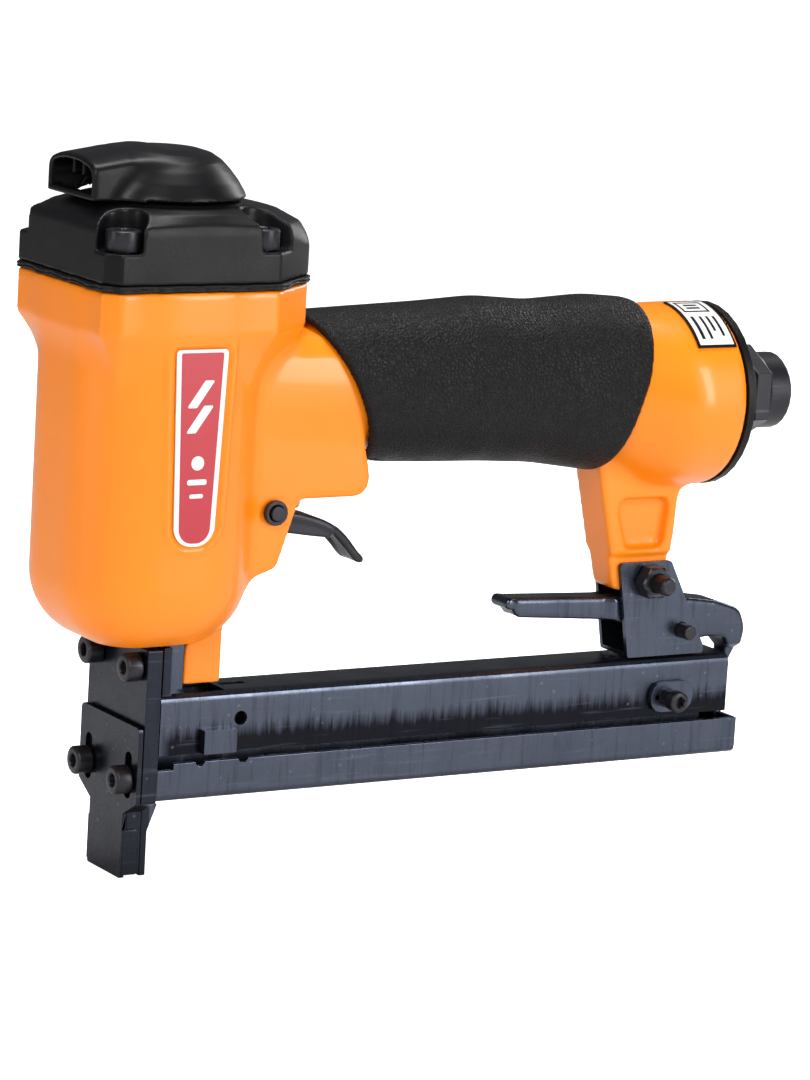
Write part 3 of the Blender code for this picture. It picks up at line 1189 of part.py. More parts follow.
def latch_group():
    outline = [(102.8, 60.2), (103.4, 62.2), (108.0, 61.9), (130.0, 61.0), (150.0, 60.3), (160.0, 59.3),
               (168.0, 58.3), (176.2, 55.6), (178.0, 50.4), (176.8, 45.6), (174.5, 41.3), (172.7, 41.3),
               (172.7, 45.0), (171.6, 48.3), (166.0, 48.6), (156.0, 47.6), (146.0, 50.6), (136.0, 54.6),
               (107.0, 56.6), (105.2, 59.2)]
    lever = finish("latch_lever", prism(outline, -LATCH_HALF_WIDTH, LATCH_HALF_WIDTH, "Y"), "blued_steel")
    sheet = LATCH_SHEET
    hollow = [(107.5, 54.0), (107.5, 61.9 - sheet), (130.0, 61.0 - sheet), (150.0, 60.3 - sheet),
              (160.0, 59.3 - sheet), (167.5, 58.3 - sheet), (174.6, 54.6), (176.3, 50.4), (175.4, 47.0),
              (172.0, 46.0), (160.0, 44.0), (130.0, 50.0)]
    pin_hole = rod(LATCH_PIN_RADIUS + RUN, -LATCH_HALF_WIDTH - 1.0, LATCH_HALF_WIDTH + 1.0, "Y",
                   LATCH_PIVOT)
    outer = LATCH_HALF_WIDTH + 1.0
    sides = []
    for side in (-1, 1):
        tongue = sorted((side * TONGUE_HALF_WIDTH, side * outer))
        hook = sorted((side * HOOK_HALF_WIDTH, side * outer))
        sides.append(block((100.0, tongue[0], 50.0), (134.0, tongue[1], 65.0)))
        sides.append(block((170.0, hook[0], 38.0), (180.0, hook[1], 46.0)))
    cut(lever, prism(hollow, sheet - TONGUE_HALF_WIDTH, TONGUE_HALF_WIDTH - sheet, "Y"), pin_hole, *sides)
    joint("latch_hinge", (LATCH_PIVOT[0], 0.0, LATCH_PIVOT[1]), [lever])

    outer = BRACKET_INNER + BRACKET_WALL
    bm = turned([(0.0, -outer - 4.5), (LATCH_PIN_RADIUS - 0.3, -outer - 4.5), (LATCH_PIN_RADIUS,
                                                                               -outer - 4.1),
                 (LATCH_PIN_RADIUS, outer + 0.6), (0.0, outer + 0.6)], "Y", LATCH_PIVOT, SMALL_STEPS)
    finish("latch_pin", bm, "bright_steel")
    low = BRACKET_BASE + BRACKET_WALL + GAP
    top = 60.3 - sheet - GAP
    finish("latch_spring", coil(2.3, 0.7, 5.0, low, top, "Z", (LATCH_SPRING_X, 0.0)), "spring_steel")


def stop_plate():
    x, z = STOP_CENTRE
    wide, high = STOP_SIZE
    face = -CHANNEL_HALF_WIDTH - GAP
    outline = rounded(rectangle(x - wide / 2, z - high / 2, x + wide / 2, z + high / 2), 3.4)
    plate = finish("stop_plate", prism(outline, face - STOP_THICKNESS, face, "Y"), "blued_steel")
    cut(plate, rod(M3[3] + GAP, face - 3.0, face + 1.0, "Y", STOP_SCREW),
        rod(0.8, face - 3.0, face + 1.0, "Y", (STOP_HOLE_X, z)))
    spacer = 2.2
    seat = (STOP_SCREW[0], face - STOP_THICKNESS - GAP - spacer, STOP_SCREW[1])
    socket_screw("stop_screw", M3, STOP_THICKNESS + 2 * GAP + spacer + CHANNEL_WALL - 0.2, seat, (0, -1, 0))
    finish("stop_spacer", ring(M3[0] - 0.2, M3[3] + RUN, face - STOP_THICKNESS - spacer,
                               face - STOP_THICKNESS - GAP / 2,
                               "Y", STOP_SCREW, SMALL_STEPS), "screw_steel")


def main():
    clear_scene()
    main_housing()
    cover_gasket()
    head_cover()
    cover_screws()
    exhaust_deflector()
    deflector_screw()
    name_plate()
    cylinder_sleeve()
    piston_group()
    bumper()
    head_valve()
    rubber_grip()
    end_cap()
    inlet_adapter()
    rear_label()
    trigger_group()
    trigger_valve()
    nose_plate()
    nose_cover()
    nose_screws()
    driver_guide()
    fixed_magazine()
    magazine_slide()
    rear_bracket()
    bracket_bolt()
    latch_group()
    stop_plate()


main()
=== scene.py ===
# %% [markdown]
# # A pneumatic staple gun, dressed over its working frame
# The frame holds every piece of the tool at its true size, with its joints. This notebook gives those
# pieces their finished shapes and surfaces: castings with soft fillets, sheet steel with bevelled edges,
# a grained rubber sleeve, turned and knurled screws. Nothing is moved. Each new piece is drawn where the
# frame says.

# %% Load the frame
import json
import math

import bmesh
import bpy
import numpy as np
from mathutils import Matrix, Vector

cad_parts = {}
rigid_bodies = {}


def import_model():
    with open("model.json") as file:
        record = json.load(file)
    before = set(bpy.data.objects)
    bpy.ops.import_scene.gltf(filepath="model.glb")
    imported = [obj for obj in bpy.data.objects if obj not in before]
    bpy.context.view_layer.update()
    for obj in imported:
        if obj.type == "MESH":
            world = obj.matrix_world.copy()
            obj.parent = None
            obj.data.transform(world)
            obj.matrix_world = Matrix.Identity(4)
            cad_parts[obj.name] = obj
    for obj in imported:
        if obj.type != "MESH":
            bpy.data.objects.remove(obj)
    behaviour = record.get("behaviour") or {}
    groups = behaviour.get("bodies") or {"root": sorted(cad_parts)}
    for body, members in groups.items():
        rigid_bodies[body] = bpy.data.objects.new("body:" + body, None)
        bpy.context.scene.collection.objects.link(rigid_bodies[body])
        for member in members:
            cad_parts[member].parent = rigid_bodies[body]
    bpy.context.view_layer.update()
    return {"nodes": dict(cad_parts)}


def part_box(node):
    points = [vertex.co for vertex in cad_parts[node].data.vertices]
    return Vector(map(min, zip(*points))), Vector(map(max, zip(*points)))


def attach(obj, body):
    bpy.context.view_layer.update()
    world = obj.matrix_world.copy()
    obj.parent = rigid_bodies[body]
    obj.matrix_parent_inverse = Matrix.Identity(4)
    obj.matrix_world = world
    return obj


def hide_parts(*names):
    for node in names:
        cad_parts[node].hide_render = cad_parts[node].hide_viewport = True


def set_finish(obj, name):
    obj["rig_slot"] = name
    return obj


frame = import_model()
print("pieces in the frame:", len(frame["nodes"]))

MM = 0.001
GAP = 0.3             # between pieces that touch, in millimetres like every size below
MARGIN = Vector((2.0, 2.0, 2.0))      # round a node's box, for the grid that its field is worked out on


def low_mm(node):
    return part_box(node)[0] / MM


def high_mm(node):
    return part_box(node)[1] / MM


def placed(name, data):
    """A new object at the origin."""
    obj = bpy.data.objects.new(name, data)
    bpy.context.scene.collection.objects.link(obj)
    return obj


def shown(piece, slot, body, *nodes):
    """Gives a finished piece its slot and its body, and lets it stand in for the nodes, if any are given."""
    if nodes:
        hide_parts(*nodes)
    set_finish(piece, slot)
    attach(piece, body)
    return piece


def object_from(bm, name, sharp_angle=None):
    """An object from a bmesh: smooth but for edges above the angle in degrees, or flat if none is given."""
    bmesh.ops.recalc_face_normals(bm, faces=bm.faces)
    mesh = bpy.data.meshes.new(name)
    bm.to_mesh(mesh)
    bm.free()
    if sharp_angle:
        mesh.shade_smooth()
        mesh.set_sharp_from_angle(angle=math.radians(sharp_angle))
    return placed(name, mesh)


# %% [markdown]
# ## Outlines
# Most pieces start as a drawn outline with round corners, just as on a maker's drawing. An outline is a
# short list of points, and one helper rounds its corners with true arcs.

# %% Outline helpers
def rounded(points, radius, steps=4):
    """The polygon with each corner replaced by an arc; radius is one value, or one for each corner."""
    radii = radius if isinstance(radius, (list, tuple)) else [radius] * len(points)
    result = []
    for index, corner in enumerate(points):
        here = Vector(corner)
        before = (Vector(points[index - 1]) - here).normalized()
        after = (Vector(points[(index + 1) % len(points)]) - here).normalized()
        size = radii[index]
        half = math.acos(max(-1.0, min(1.0, before.dot(after)))) / 2
        if size <= 0.0 or half > math.radians(89):
            result.append(tuple(here))
            continue
        centre = here + (before + after).normalized() * size / math.sin(half)
        first = here + before * size / math.tan(half) - centre
        last = here + after * size / math.tan(half) - centre
        turn = math.atan2(first.x * last.y - first.y * last.x, first.dot(last))
        for step in range(steps + 1):
            angle = turn * step / steps
            cosine, sine = math.cos(angle), math.sin(angle)
            result.append((centre.x + first.x * cosine - first.y * sine,
                           centre.y + first.x * sine + first.y * cosine))
    return result


def rectangle(left, low, right, high):
    return [(left, low), (right, low), (right, high), (left, high)]


def circle(centre, radius, steps=24):
    turns = [math.tau * i / steps for i in range(steps)]
    return [(centre[0] + radius * math.cos(turn), centre[1] + radius * math.sin(turn)) for turn in turns]


# %% [markdown]
# ## Castings as fields
# A casting has no sharp inside corners: wherever two shapes meet, the pattern maker adds a fillet.
# Booleans leave hard seams there, and bevelling them breaks where many edges meet. So the castings are
# made as a field instead: at each point of a grid, how far it is to the surface, negative inside. Two
# fields join with a smooth minimum, whose width is the fillet, and a pocket is carved with a smooth
# maximum. The skin is then laid over the zero level, with one vertex in each cell that the surface
# crosses.

# %% Field helpers
AVERAGED_REACH = 3.0
FAR = 1e9             # where no distance has been found yet


def grid(low, high, step):
    """Coordinates in millimetres along X, Y and Z, shaped so that they combine into a block."""
    axes = [np.arange(a, b + step, step, dtype=np.float32) for a, b in zip(low, high)]
    return axes[0][:, None, None], axes[1][None, :, None], axes[2][None, None, :]


def outline_distance(a, b, points):
    """Signed distance to a closed outline in a plane, negative inside."""
    shape = np.broadcast(a, b).shape
    nearest = np.full(shape, FAR, np.float32)
    inside = np.zeros(shape, bool)
    for (ax, ay), (bx, by) in zip(points, points[1:] + points[:1]):
        ex, ey = bx - ax, by - ay
        along = np.clip(((a - ax) * ex + (b - ay) * ey) / (ex * ex + ey * ey), 0.0, 1.0)
        nearest = np.minimum(nearest, (a - ax - ex * along) ** 2 + (b - ay - ey * along) ** 2)
        if ey:
            inside ^= ((b >= ay) != (b >= by)) & (a < ax + (b - ay) * ex / ey)
    return np.where(inside, -1.0, 1.0).astype(np.float32) * np.sqrt(nearest)


def join(first, second, fillet):
    """Smooth union of two fields."""
    share = np.maximum(fillet - np.abs(first - second), 0.0) / fillet
    return np.minimum(first, second) - share * share * fillet / 4


def limit(first, second, fillet):
    """What two fields have in common, with a rounded edge."""
    return -join(-first, -second, fillet)


def carve(field, cutter, fillet):
    return limit(field, -cutter, fillet)


def oval_distance(y, z, centre, high, wide, power):
    reach = ((np.abs(y) / wide) ** power + (np.abs(z - centre) / high) ** power) ** (1.0 / power)
    return (reach - 1.0) * np.minimum(wide, high)


def smooth_through(x, places, values):
    """Values along X that pass smoothly near the given ones: straight runs, averaged over a short reach."""
    offsets = np.linspace(-AVERAGED_REACH, AVERAGED_REACH, 11)
    return sum(np.interp(x + offset, places,
                         values) for offset in offsets).astype(np.float32) / len(offsets)


def skin(name, field, low, step):
    """A mesh over the zero level of a field, with one vertex in each cell that the surface crosses."""
    inside = field < 0.0
    cells = np.array(field.shape) - 1
    corners = np.zeros(cells, np.int8)
    for i in (0, 1):
        for j in (0, 1):
            for k in (0, 1):
                corners += inside[i:i + cells[0], j:j + cells[1], k:k + cells[2]]
    crossed = (corners > 0) & (corners < 8)
    index = np.full(cells, -1, np.int64)
    count = int(crossed.sum())
    index[crossed] = np.arange(count)
    sums = np.zeros((count, 3))
    hits = np.zeros(count)
    quads = []
    for axis in range(3):
        u, v = (axis + 1) % 3, (axis + 2) % 3
        first = [slice(None)] * 3
        last = [slice(None)] * 3
        first[axis], last[axis] = slice(0, -1), slice(1, None)
        a, b = field[tuple(first)], field[tuple(last)]
        edge = np.argwhere((a < 0.0) != (b < 0.0))
        edge = edge[(edge[:, u] > 0) & (edge[:, v] > 0) & (edge[:, u] < cells[u]) & (edge[:, v] < cells[v])]
        start = a[tuple(edge.T)]
        point = edge.astype(np.float64)
        point[:, axis] += start / (start - b[tuple(edge.T)])
        around = []
        for du, dv in ((0, 0), (-1, 0), (-1, -1), (0, -1)):
            cell = edge.copy()
            cell[:, u] += du
            cell[:, v] += dv
            found = index[tuple(cell.T)]
            around.append(found)
            hits += np.bincount(found, minlength=count)
            for side in range(3):
                sums[:, side] += np.bincount(found, weights=point[:, side], minlength=count)
        faces = np.stack(around, axis=1)
        faces[start >= 0.0] = faces[start >= 0.0][:, ::-1]
        quads.append(faces)
    places = (sums / hits[:, None] * step + np.array(low)) * MM
    return shell(name, places, np.concatenate(quads))


def shell(name, places, faces):
    """A smooth-shaded object from arrays of points, in metres, and four-sided faces."""
    mesh = bpy.data.meshes.new(name)
    mesh.vertices.add(len(places))
    mesh.vertices.foreach_set("co", places.astype(np.float32).ravel())
    mesh.loops.add(faces.size)
    mesh.loops.foreach_set("vertex_index", faces.astype(np.int32).ravel())
    mesh.polygons.add(len(faces))
    mesh.polygons.foreach_set("loop_start", np.arange(0, faces.size, 4, dtype=np.int32))
    mesh.update(calc_edges=True)
    mesh.validate()
    mesh.shade_smooth()
    print(f"{name}: {len(faces)} faces")
    return placed(name, mesh)


def cast(node, field_of, step, slot, body="frame", name=None):
    """Skins a field over the box of a node, and lets the result stand in for it."""
    start = low_mm(node) - MARGIN
    field = field_of(*grid(start, high_mm(node) + MARGIN, step))
    return shown(skin(name or node + "_finished", field, start, step), slot, body, node)


# %% [markdown]
# ## The housing
# The real housing is one die casting: a barrel that holds the cylinder, a collar under the head, a hollow
# handle that flares into a round bell, a web over the trigger, and a leg down to the magazine. The same
# few driving sizes as in the frame are named here, and the fillets come from the joins.

# %% Housing sizes
BARREL_HALF = 25.0
BARREL_CORNER = 19.0
BARREL_REAR_CORNER = 24.0
BARREL_BOTTOM = 57.0
BARREL_ROUND = 17.0
COLLAR_BOTTOM = 135.0
COLLAR_TOP = high_mm("main_housing").z
HANDLE = np.array([(20.0, 135.4, 101.0, 15.0), (42.0, 136.6, 99.8, 16.4), (75.0, 138.0, 98.2, 17.5),
                   (91.0, 139.1, 97.8, 17.5), (107.0, 137.8, 96.9, 17.5), (124.0, 138.9, 94.3, 18.6),
                   (142.0, 137.4, 92.0, 20.0)])
OVAL_POWER = 2.3
GRIP_WALL = 3.0
BELL_RADIUS = 23.6
BELL_CENTRE = 112.8
BELL = np.array([(118.0, 134.9, 99.0, 14.4), (124.0, 135.4, 97.6, 15.2), (130.0, 135.6, 95.6, 16.4),
                 (134.0, 135.8, 93.4, 18.0), (138.0, 136.1, 91.2, 20.2), (142.0, 136.3, 89.8, 22.2),
                 (146.0, 136.4, 89.2, 23.6), (165.0, 136.4, 89.2, 23.6)])
BELL_END = high_mm("main_housing").x
WEB_HALF = 12.5
WEB_UNDERSIDE = 92.0
WEB_FACET = 126.5
TRIGGER_PIVOT = (28.7, 89.4)
PIN_HOLE_RADIUS = 2.05
HANDLE_ENDS = (14.0, 128.0)
BELL_START = 118.0
LEG_SIDE = [(150.7, 62.5), (152.6, 88.0), (154.0, 96.0), (127.0, 96.0), (128.9, 88.0), (134.8, 62.5)]
LEG_WINDOW = [(137.3, 73.6), (148.4, 73.6), (149.8, 86.6), (133.6, 86.6)]
FOOT = rectangle(8.0, -7.7, 19.5, 7.7)
FOOT_LOW, FOOT_HIGH = 46.8, 66.0
TRIGGER_SLOT = (24.3, 35.7, 5.6, 94.0)            # from X, to X, half width, top
NOSE_SEAT = (9.0, 15.4, 58.3)                     # to X, half width, top
VALVE_BORE = (41.5, 4.9, 80.0, 110.0)             # X, radius, from Z, to Z
CROSS_HOLES = ((*TRIGGER_PIVOT, PIN_HOLE_RADIUS, 14.0), (144.8, 65.2, 2.8,
                                                         8.0))       # X, Z, radius, half width
CYLINDER_BORES = ((20.4, 70.0), (19.2, 62.0), (7.8, 50.0),
                  (21.3, 138.4))              # radius, and its lower end
RESERVOIR_WALL = 6.4
RESERVOIR_ENDS = (18.0, 127.0)
BELL_WALL = 3.4
INNER_BELL_START = 126.0
LABEL_HIGH, LABEL_LOW = 131.8, 84.8
LABEL_TOP_HALF, LABEL_LOW_HALF = 6.9, 5.3
PAD_FACE = -25.6


def head_outline(inset=0.0):
    """Plan of the collar, the gasket and the head cover."""
    side = [(-25.6 + inset, 21.8 - inset), (-22.2 + inset, 25.2 - inset), (19.7, 25.2 - inset),
            (34.0 - inset, 13.0 - inset * 0.5), (35.5 - inset, 11.0 - inset * 0.5)]
    return side + [(x, -y) for x, y in reversed(side)]


def label_outline(margin):
    top, low = LABEL_TOP_HALF + margin, LABEL_LOW_HALF + margin
    end, start = LABEL_LOW - margin * 0.6, LABEL_HIGH + margin * 0.6
    return rounded([(-low, end), (low, end), (top, start), (-top, start)],
                   [low * 0.9, low * 0.9, 1.0 + margin * 0.4, 1.0 + margin * 0.4], 8)


def grip_front(steps=16):
    """The curved front edge of the grip, seen from the side."""
    start, end, bulge = Vector((36.4, 138.5)), Vector((56.4, 97.0)), 3.0
    chord = (end - start).length
    radius = (chord * chord / 4 + bulge * bulge) / (2 * bulge)
    side = Vector((-(end - start).y, (end - start).x)).normalized()
    centre = (start + end) / 2 + side * (bulge - radius)
    first = start - centre
    turn = -2 * math.asin(chord / 2 / radius)
    turns = [turn * step / steps for step in range(steps + 1)]
    return [(centre.x + first.x * math.cos(a) - first.y * math.sin(a),
             centre.y + first.x * math.sin(a) + first.y * math.cos(a)) for a in turns]


# %% Housing field
def stations_distance(x, y, z, stations, inset, power):
    places = stations[:, 0]
    top, bottom, half = (smooth_through(x, places, stations[:, column]) for column in (1, 2, 3))
    return oval_distance(y, z, (top + bottom) / 2, (top - bottom) / 2 - inset, half - inset, power)


def barrel_field(x, y, z):
    plan = outline_distance(x, y, rounded(rectangle(-BARREL_HALF, -BARREL_HALF, BARREL_HALF, BARREL_HALF),
                                          [BARREL_CORNER, BARREL_REAR_CORNER, BARREL_REAR_CORNER,
                                           BARREL_CORNER], 12))
    below = BARREL_BOTTOM + BARREL_ROUND - z
    bowl = np.hypot(np.maximum(plan + BARREL_ROUND, 0.0), below) - BARREL_ROUND
    return np.where(below > 0.0, bowl, plan)


def collar_field(x, y, z):
    plan = outline_distance(x, y, head_outline())
    under = np.maximum(COLLAR_BOTTOM - z, 0.0)
    return (plan + 0.66 * under) * np.where(under > 0.0, 0.83, 1.0)


def web_field(x, y, z):
    high = COLLAR_BOTTOM - 1.0
    rear = [(a - 2 * GAP, b) for a, b in reversed(grip_front(10)) if b < high]
    side = rounded([(12.0, 72.0), (21.0, 72.0), (30.7, 75.3), (36.2, WEB_UNDERSIDE), (rear[0][0] - 0.6,
                                                                                      WEB_UNDERSIDE)]
                   + rear + [(12.0, high)], [0.0, 0.0, 2.5, 2.0, 4.0] + [0.0] * (len(rear) + 1))
    facet = np.maximum(z - WEB_FACET, 0.0) * 0.62
    across = (np.abs(y) - WEB_HALF + facet) * np.where(facet > 0.0, 0.85, 1.0)
    return limit(outline_distance(x, z, side), across, 1.6)


def leg_field(x, y, z):
    side = rounded(LEG_SIDE, [1.0, 0.0, 0.0, 0.0, 4.0, 3.0])
    half = 4.9 + 1.3 * np.clip((z - 71.6) / 0.9, 0.0, 1.0)
    leg = limit(outline_distance(x, z, side), np.abs(y) - half, 1.2)
    pocket = limit(outline_distance(x, z, rounded(LEG_WINDOW, 2.2)), 3.4 - np.abs(y), 1.4)
    return carve(leg, pocket, 1.2)


def between(value, low, high):
    """Negative where the value lies between the two."""
    return np.maximum(low - value, value - high)


def solid_field(x, y, z, bell):
    """The casting before anything is cut out of it."""
    field = join(barrel_field(x, y, z), collar_field(x, y, z), 4.0)
    core = stations_distance(x, y, z, HANDLE, GRIP_WALL, OVAL_POWER)
    handle = limit(core, between(x, *HANDLE_ENDS), 1.0)
    handle = join(handle, limit(bell, between(x, BELL_START, BELL_END), 1.6), 1.5)
    pad = limit(outline_distance(x, z, label_outline(2.8)), np.maximum(PAD_FACE - y, y + 20.0), 0.9)
    field = join(field, pad, 0.8)
    field = join(field, web_field(x, y, z), 3.2)
    field = join(field, handle, 3.0)
    foot = limit(outline_distance(x, y, rounded(FOOT, 1.4)), between(z, FOOT_LOW, FOOT_HIGH), 0.8)
    field = join(field, foot, 2.4)
    field = join(field, leg_field(x, y, z), 3.0)
    return limit(field, z - COLLAR_TOP, 0.6)


def housing_field(x, y, z):
    bell = stations_distance(x, y, z, BELL, 0.0, 2.0)
    field = solid_field(x, y, z, bell)
    dish = limit(outline_distance(x, z, label_outline(0.7)), y - PAD_FACE - 1.0, 0.5)
    field = carve(field, dish, 0.9)
    start, end, half, top = TRIGGER_SLOT
    slot = np.maximum(between(x, start, end), np.maximum(np.abs(y) - half, z - top))
    field = carve(field, slot, 0.6)
    end, half, top = NOSE_SEAT
    field = carve(field, np.maximum(np.maximum(x - end, np.abs(y) - half), z - top), 0.5)
    for place, height, radius, half in CROSS_HOLES:
        hole = np.hypot(x - place, z - height) - radius
        field = np.maximum(field, -np.maximum(hole, np.abs(y) - half))
    place, radius, start, end = VALVE_BORE
    field = np.maximum(field, -np.maximum(np.hypot(x - place, y) - radius, between(z, start, end)))
    for radius, start in CYLINDER_BORES:
        field = np.maximum(field, -np.maximum(np.hypot(x, y) - radius, start - z))
    core = stations_distance(x, y, z, HANDLE, RESERVOIR_WALL, OVAL_POWER)
    reservoir = np.maximum(core, between(x, *RESERVOIR_ENDS))
    inner_bell = np.maximum(bell + BELL_WALL, INNER_BELL_START - x)
    return np.maximum(field, -np.minimum(inner_bell, reservoir))


cast("main_housing", housing_field, 0.8, "orange_paint", name="housing")

# %% [markdown]
# ## The head
# The head cover and the exhaust deflector are castings too. The cover's roof falls from a round boss to
# the outline in a steep shoulder, which reaches further down at the rear. Each screw stands in a pocket
# with a round back wall. The deflector is a low dome whose spout opens towards the nose.

# %% Head cover field
COVER_BASE = low_mm("head_cover").z
COVER_TOP = high_mm("head_cover").z
COVER_SHOULDER_Z = COVER_BASE + 12.8
COVER_BOSS_RADIUS = 21.0
COVER_BOSS_HEIGHT = 0.7
COVER_REAR_DROP = 4.8
SCREW_SEAT = 154.3
SCREW_PLACES = [(x, y) for x in (-19.5, 17.4) for y in (-19.5, 19.5)]
POCKET_RADIUS = 5.4
SCREW_HOLE_RADIUS = 2.8
VENT_RADIUS, VENT_PLACE = 2.7, 8.6
AXIS_HOLE_RADIUS = 2.3
CAVITY_RADIUS, ROOF = 20.0, 7.0


def outline_reach(x, y, points):
    """How far a convex outline lies from the axis in the direction of each place, and X where it is met."""
    away = np.maximum(np.hypot(x, y), 1e-3)
    reach = np.full(away.shape, 1e3, np.float32)
    for (ax, ay), (bx, by) in zip(points, points[1:] + points[:1]):
        nx, ny = by - ay, ax - bx
        offset = nx * ax + ny * ay
        if offset < 0.0:
            nx, ny, offset = -nx, -ny, -offset
        facing = (nx * x + ny * y) / away
        reach = np.minimum(reach, np.where(facing > 1e-3, offset / np.maximum(facing, 1e-3), 1e3))
    return reach, reach * x / away


def cover_field(x, y, z):
    plan = outline_distance(x, y, head_outline())
    reach, met_x = outline_reach(x, y, head_outline())
    away = np.hypot(x, y)
    share = np.clip((away - COVER_BOSS_RADIUS) / (reach - COVER_BOSS_RADIUS), 0.0, 1.0)
    rear = np.clip((met_x - 19.7) / 14.3, 0.0, 1.0)
    bend = 0.97 - 0.19 * rear
    roof = COVER_TOP - COVER_BOSS_HEIGHT
    upper = roof - 1.05 * np.clip(share / 0.45, 0.0, 1.0)
    upper -= 2.65 * np.clip((share - 0.45) / (bend - 0.45), 0.0, 1.0)
    upper -= (0.5 + COVER_REAR_DROP * rear) * np.clip((share - bend) / (1.0 - bend), 0.0, 1.0) ** 1.5
    field = limit(plan, (z - upper) * 0.8, 1.1)
    field = join(field, limit(away - COVER_BOSS_RADIUS + 1.5, z - COVER_TOP, 0.4), 0.8)
    field = np.maximum(field, COVER_BASE - z)
    for px, py in SCREW_PLACES:
        length = math.hypot(px, py)
        along = ((x - px) * px + (y - py) * py) / length
        across = ((x - px) * -py + (y - py) * px) / length
        pocket = np.where(along > 0.0, np.abs(across), np.hypot(along, across)) - POCKET_RADIUS
        field = carve(field, limit(pocket, SCREW_SEAT - z, 0.8), 0.4)
        field = np.maximum(field, SCREW_HOLE_RADIUS - np.hypot(x - px, y - py))
    cavity = np.maximum(away - CAVITY_RADIUS, z - (COVER_TOP - ROOF))
    field = np.maximum(field, -cavity)
    field = np.maximum(field, AXIS_HOLE_RADIUS - away)
    for hx, hy in circle((0.0, 0.0), VENT_PLACE, 6):
        field = np.maximum(field, VENT_RADIUS - np.hypot(x - hx, y - hy))
    return field


cast("head_cover", cover_field, 0.5, "black_casting")

# %% Exhaust deflector field
DEFLECTOR_BASE = low_mm("exhaust_deflector").z
DEFLECTOR_TOP = high_mm("exhaust_deflector").z
DEFLECTOR_RADIUS = 20.6
SPOUT_REACH = 24.0
SPOUT_HALF = 12.0
FIN_ENDS = (-SPOUT_REACH + 3.2, -12.0)


def dome_side(inset):
    height = DEFLECTOR_TOP - DEFLECTOR_BASE - 0.7 - inset
    radius = DEFLECTOR_RADIUS - inset
    side = [(1.0, 0.0), (0.975, 0.1), (0.90, 0.33), (0.80, 0.56), (0.70, 0.75), (0.58, 0.89), (0.42, 0.97),
            (0.2, 1.0)]
    arc = [(radius * a, DEFLECTOR_BASE + 0.7 + height * b) for a, b in side]
    return [(-radius, DEFLECTOR_BASE - inset * 3), (radius, DEFLECTOR_BASE - inset * 3)] + arc + [
        (-a, b) for a, b in reversed(arc)]


def spout_section(x, y, z, inset):
    top = 9.9 + 1.6 * np.clip((x + SPOUT_REACH) / 10.0, 0.0, 1.0) - 2.4 * (np.abs(y) / SPOUT_HALF) ** 2.4
    over = (z - DEFLECTOR_BASE - top + inset) * 0.93
    return limit(over, np.abs(y) - SPOUT_HALF + inset, 1.8)


def deflector_field(x, y, z):
    away = np.hypot(x, y)
    dome = outline_distance(away, z, dome_side(0.0))
    spout = limit(spout_section(x, y, z, 0.0), x + 2.0, 5.0)
    spout = limit(spout, -SPOUT_REACH - x, 1.2)
    field = join(dome, spout, 3.0)
    groove = np.maximum(np.abs(z - DEFLECTOR_BASE - 0.3) - 0.35, DEFLECTOR_RADIUS - 0.9 - away)
    field = carve(field, np.maximum(groove, -x - 12.0), 0.3)
    hollow = outline_distance(away, z, dome_side(1.4))
    channel = np.maximum(spout_section(x, y, z, 1.5), x + 2.0)
    mouth = np.maximum(channel, DEFLECTOR_BASE + 1.4 - z)
    under = np.maximum(channel, -SPOUT_REACH + 3.0 - x)
    field = carve(field, np.minimum(np.minimum(mouth, hollow), under), 0.8)
    post = np.maximum(away - 3.4, z - DEFLECTOR_TOP + 0.8)
    for side in (-5.0, 0.0, 5.0):
        fin = np.maximum(np.abs(y - side) - 0.5, between(x, *FIN_ENDS))
        fin = np.maximum(fin, spout_section(x, y, z, 0.8))
        field = np.minimum(field, np.maximum(fin, DEFLECTOR_BASE + 4.6 - z))
    field = np.minimum(field, post)
    field = np.maximum(field, DEFLECTOR_BASE - z)
    return np.maximum(field, -np.maximum(away - AXIS_HOLE_RADIUS, z - DEFLECTOR_BASE - 7.5))


cast("exhaust_deflector", deflector_field, 0.45, "black_plastic")

# %% Gasket: two soft beads squeezed out along the outline
GASKET_LOW = low_mm("cover_gasket").z
GASKET_HIGH = high_mm("cover_gasket").z
GASKET_MIDDLE = (GASKET_LOW + GASKET_HIGH) / 2
GASKET_RING_RADIUS = 21.2


def gasket_field(x, y, z):
    plan = outline_distance(x, y, rounded(head_outline(-0.1), 1.2, 4))
    turn = np.arctan2(y, x)
    wave = 0.16 * np.sin(23.0 * turn + 2.0 * np.sin(5.0 * turn)) + 0.12 * np.sin(41.0 * turn + 1.0)
    middle = GASKET_MIDDLE + 0.22 * np.sin(17.0 * turn + np.sin(3.0 * turn))
    beads = np.abs(np.abs(z - middle) - 0.42)
    edge = plan - 0.55 - wave + 1.6 * beads ** 1.5
    field = limit(edge * 0.8, np.abs(z - GASKET_MIDDLE) - (GASKET_HIGH - GASKET_LOW) / 2, 0.3)
    field = np.maximum(field, GASKET_RING_RADIUS - np.hypot(x, y))
    for px, py in SCREW_PLACES:
        field = np.maximum(field, SCREW_HOLE_RADIUS - np.hypot(x - px, y - py))
    return field


cast("cover_gasket", gasket_field, 0.27, "seal_rubber")

# %% [markdown]
# ## The grip
# The rubber sleeve is the handle's outer surface between two curved cuts. Its front rim is a full
# thickness above the paint, and its rear edge thins out over the bell.

# %% Grip field
GRIP_REAR = [(126.0, 84.0), (126.0, 92.0), (126.4, 96.0), (128.2, 103.0), (130.3, 112.0), (132.6, 119.6),
             (134.8, 130.6), (136.9, 141.0), (137.2, 146.0)]


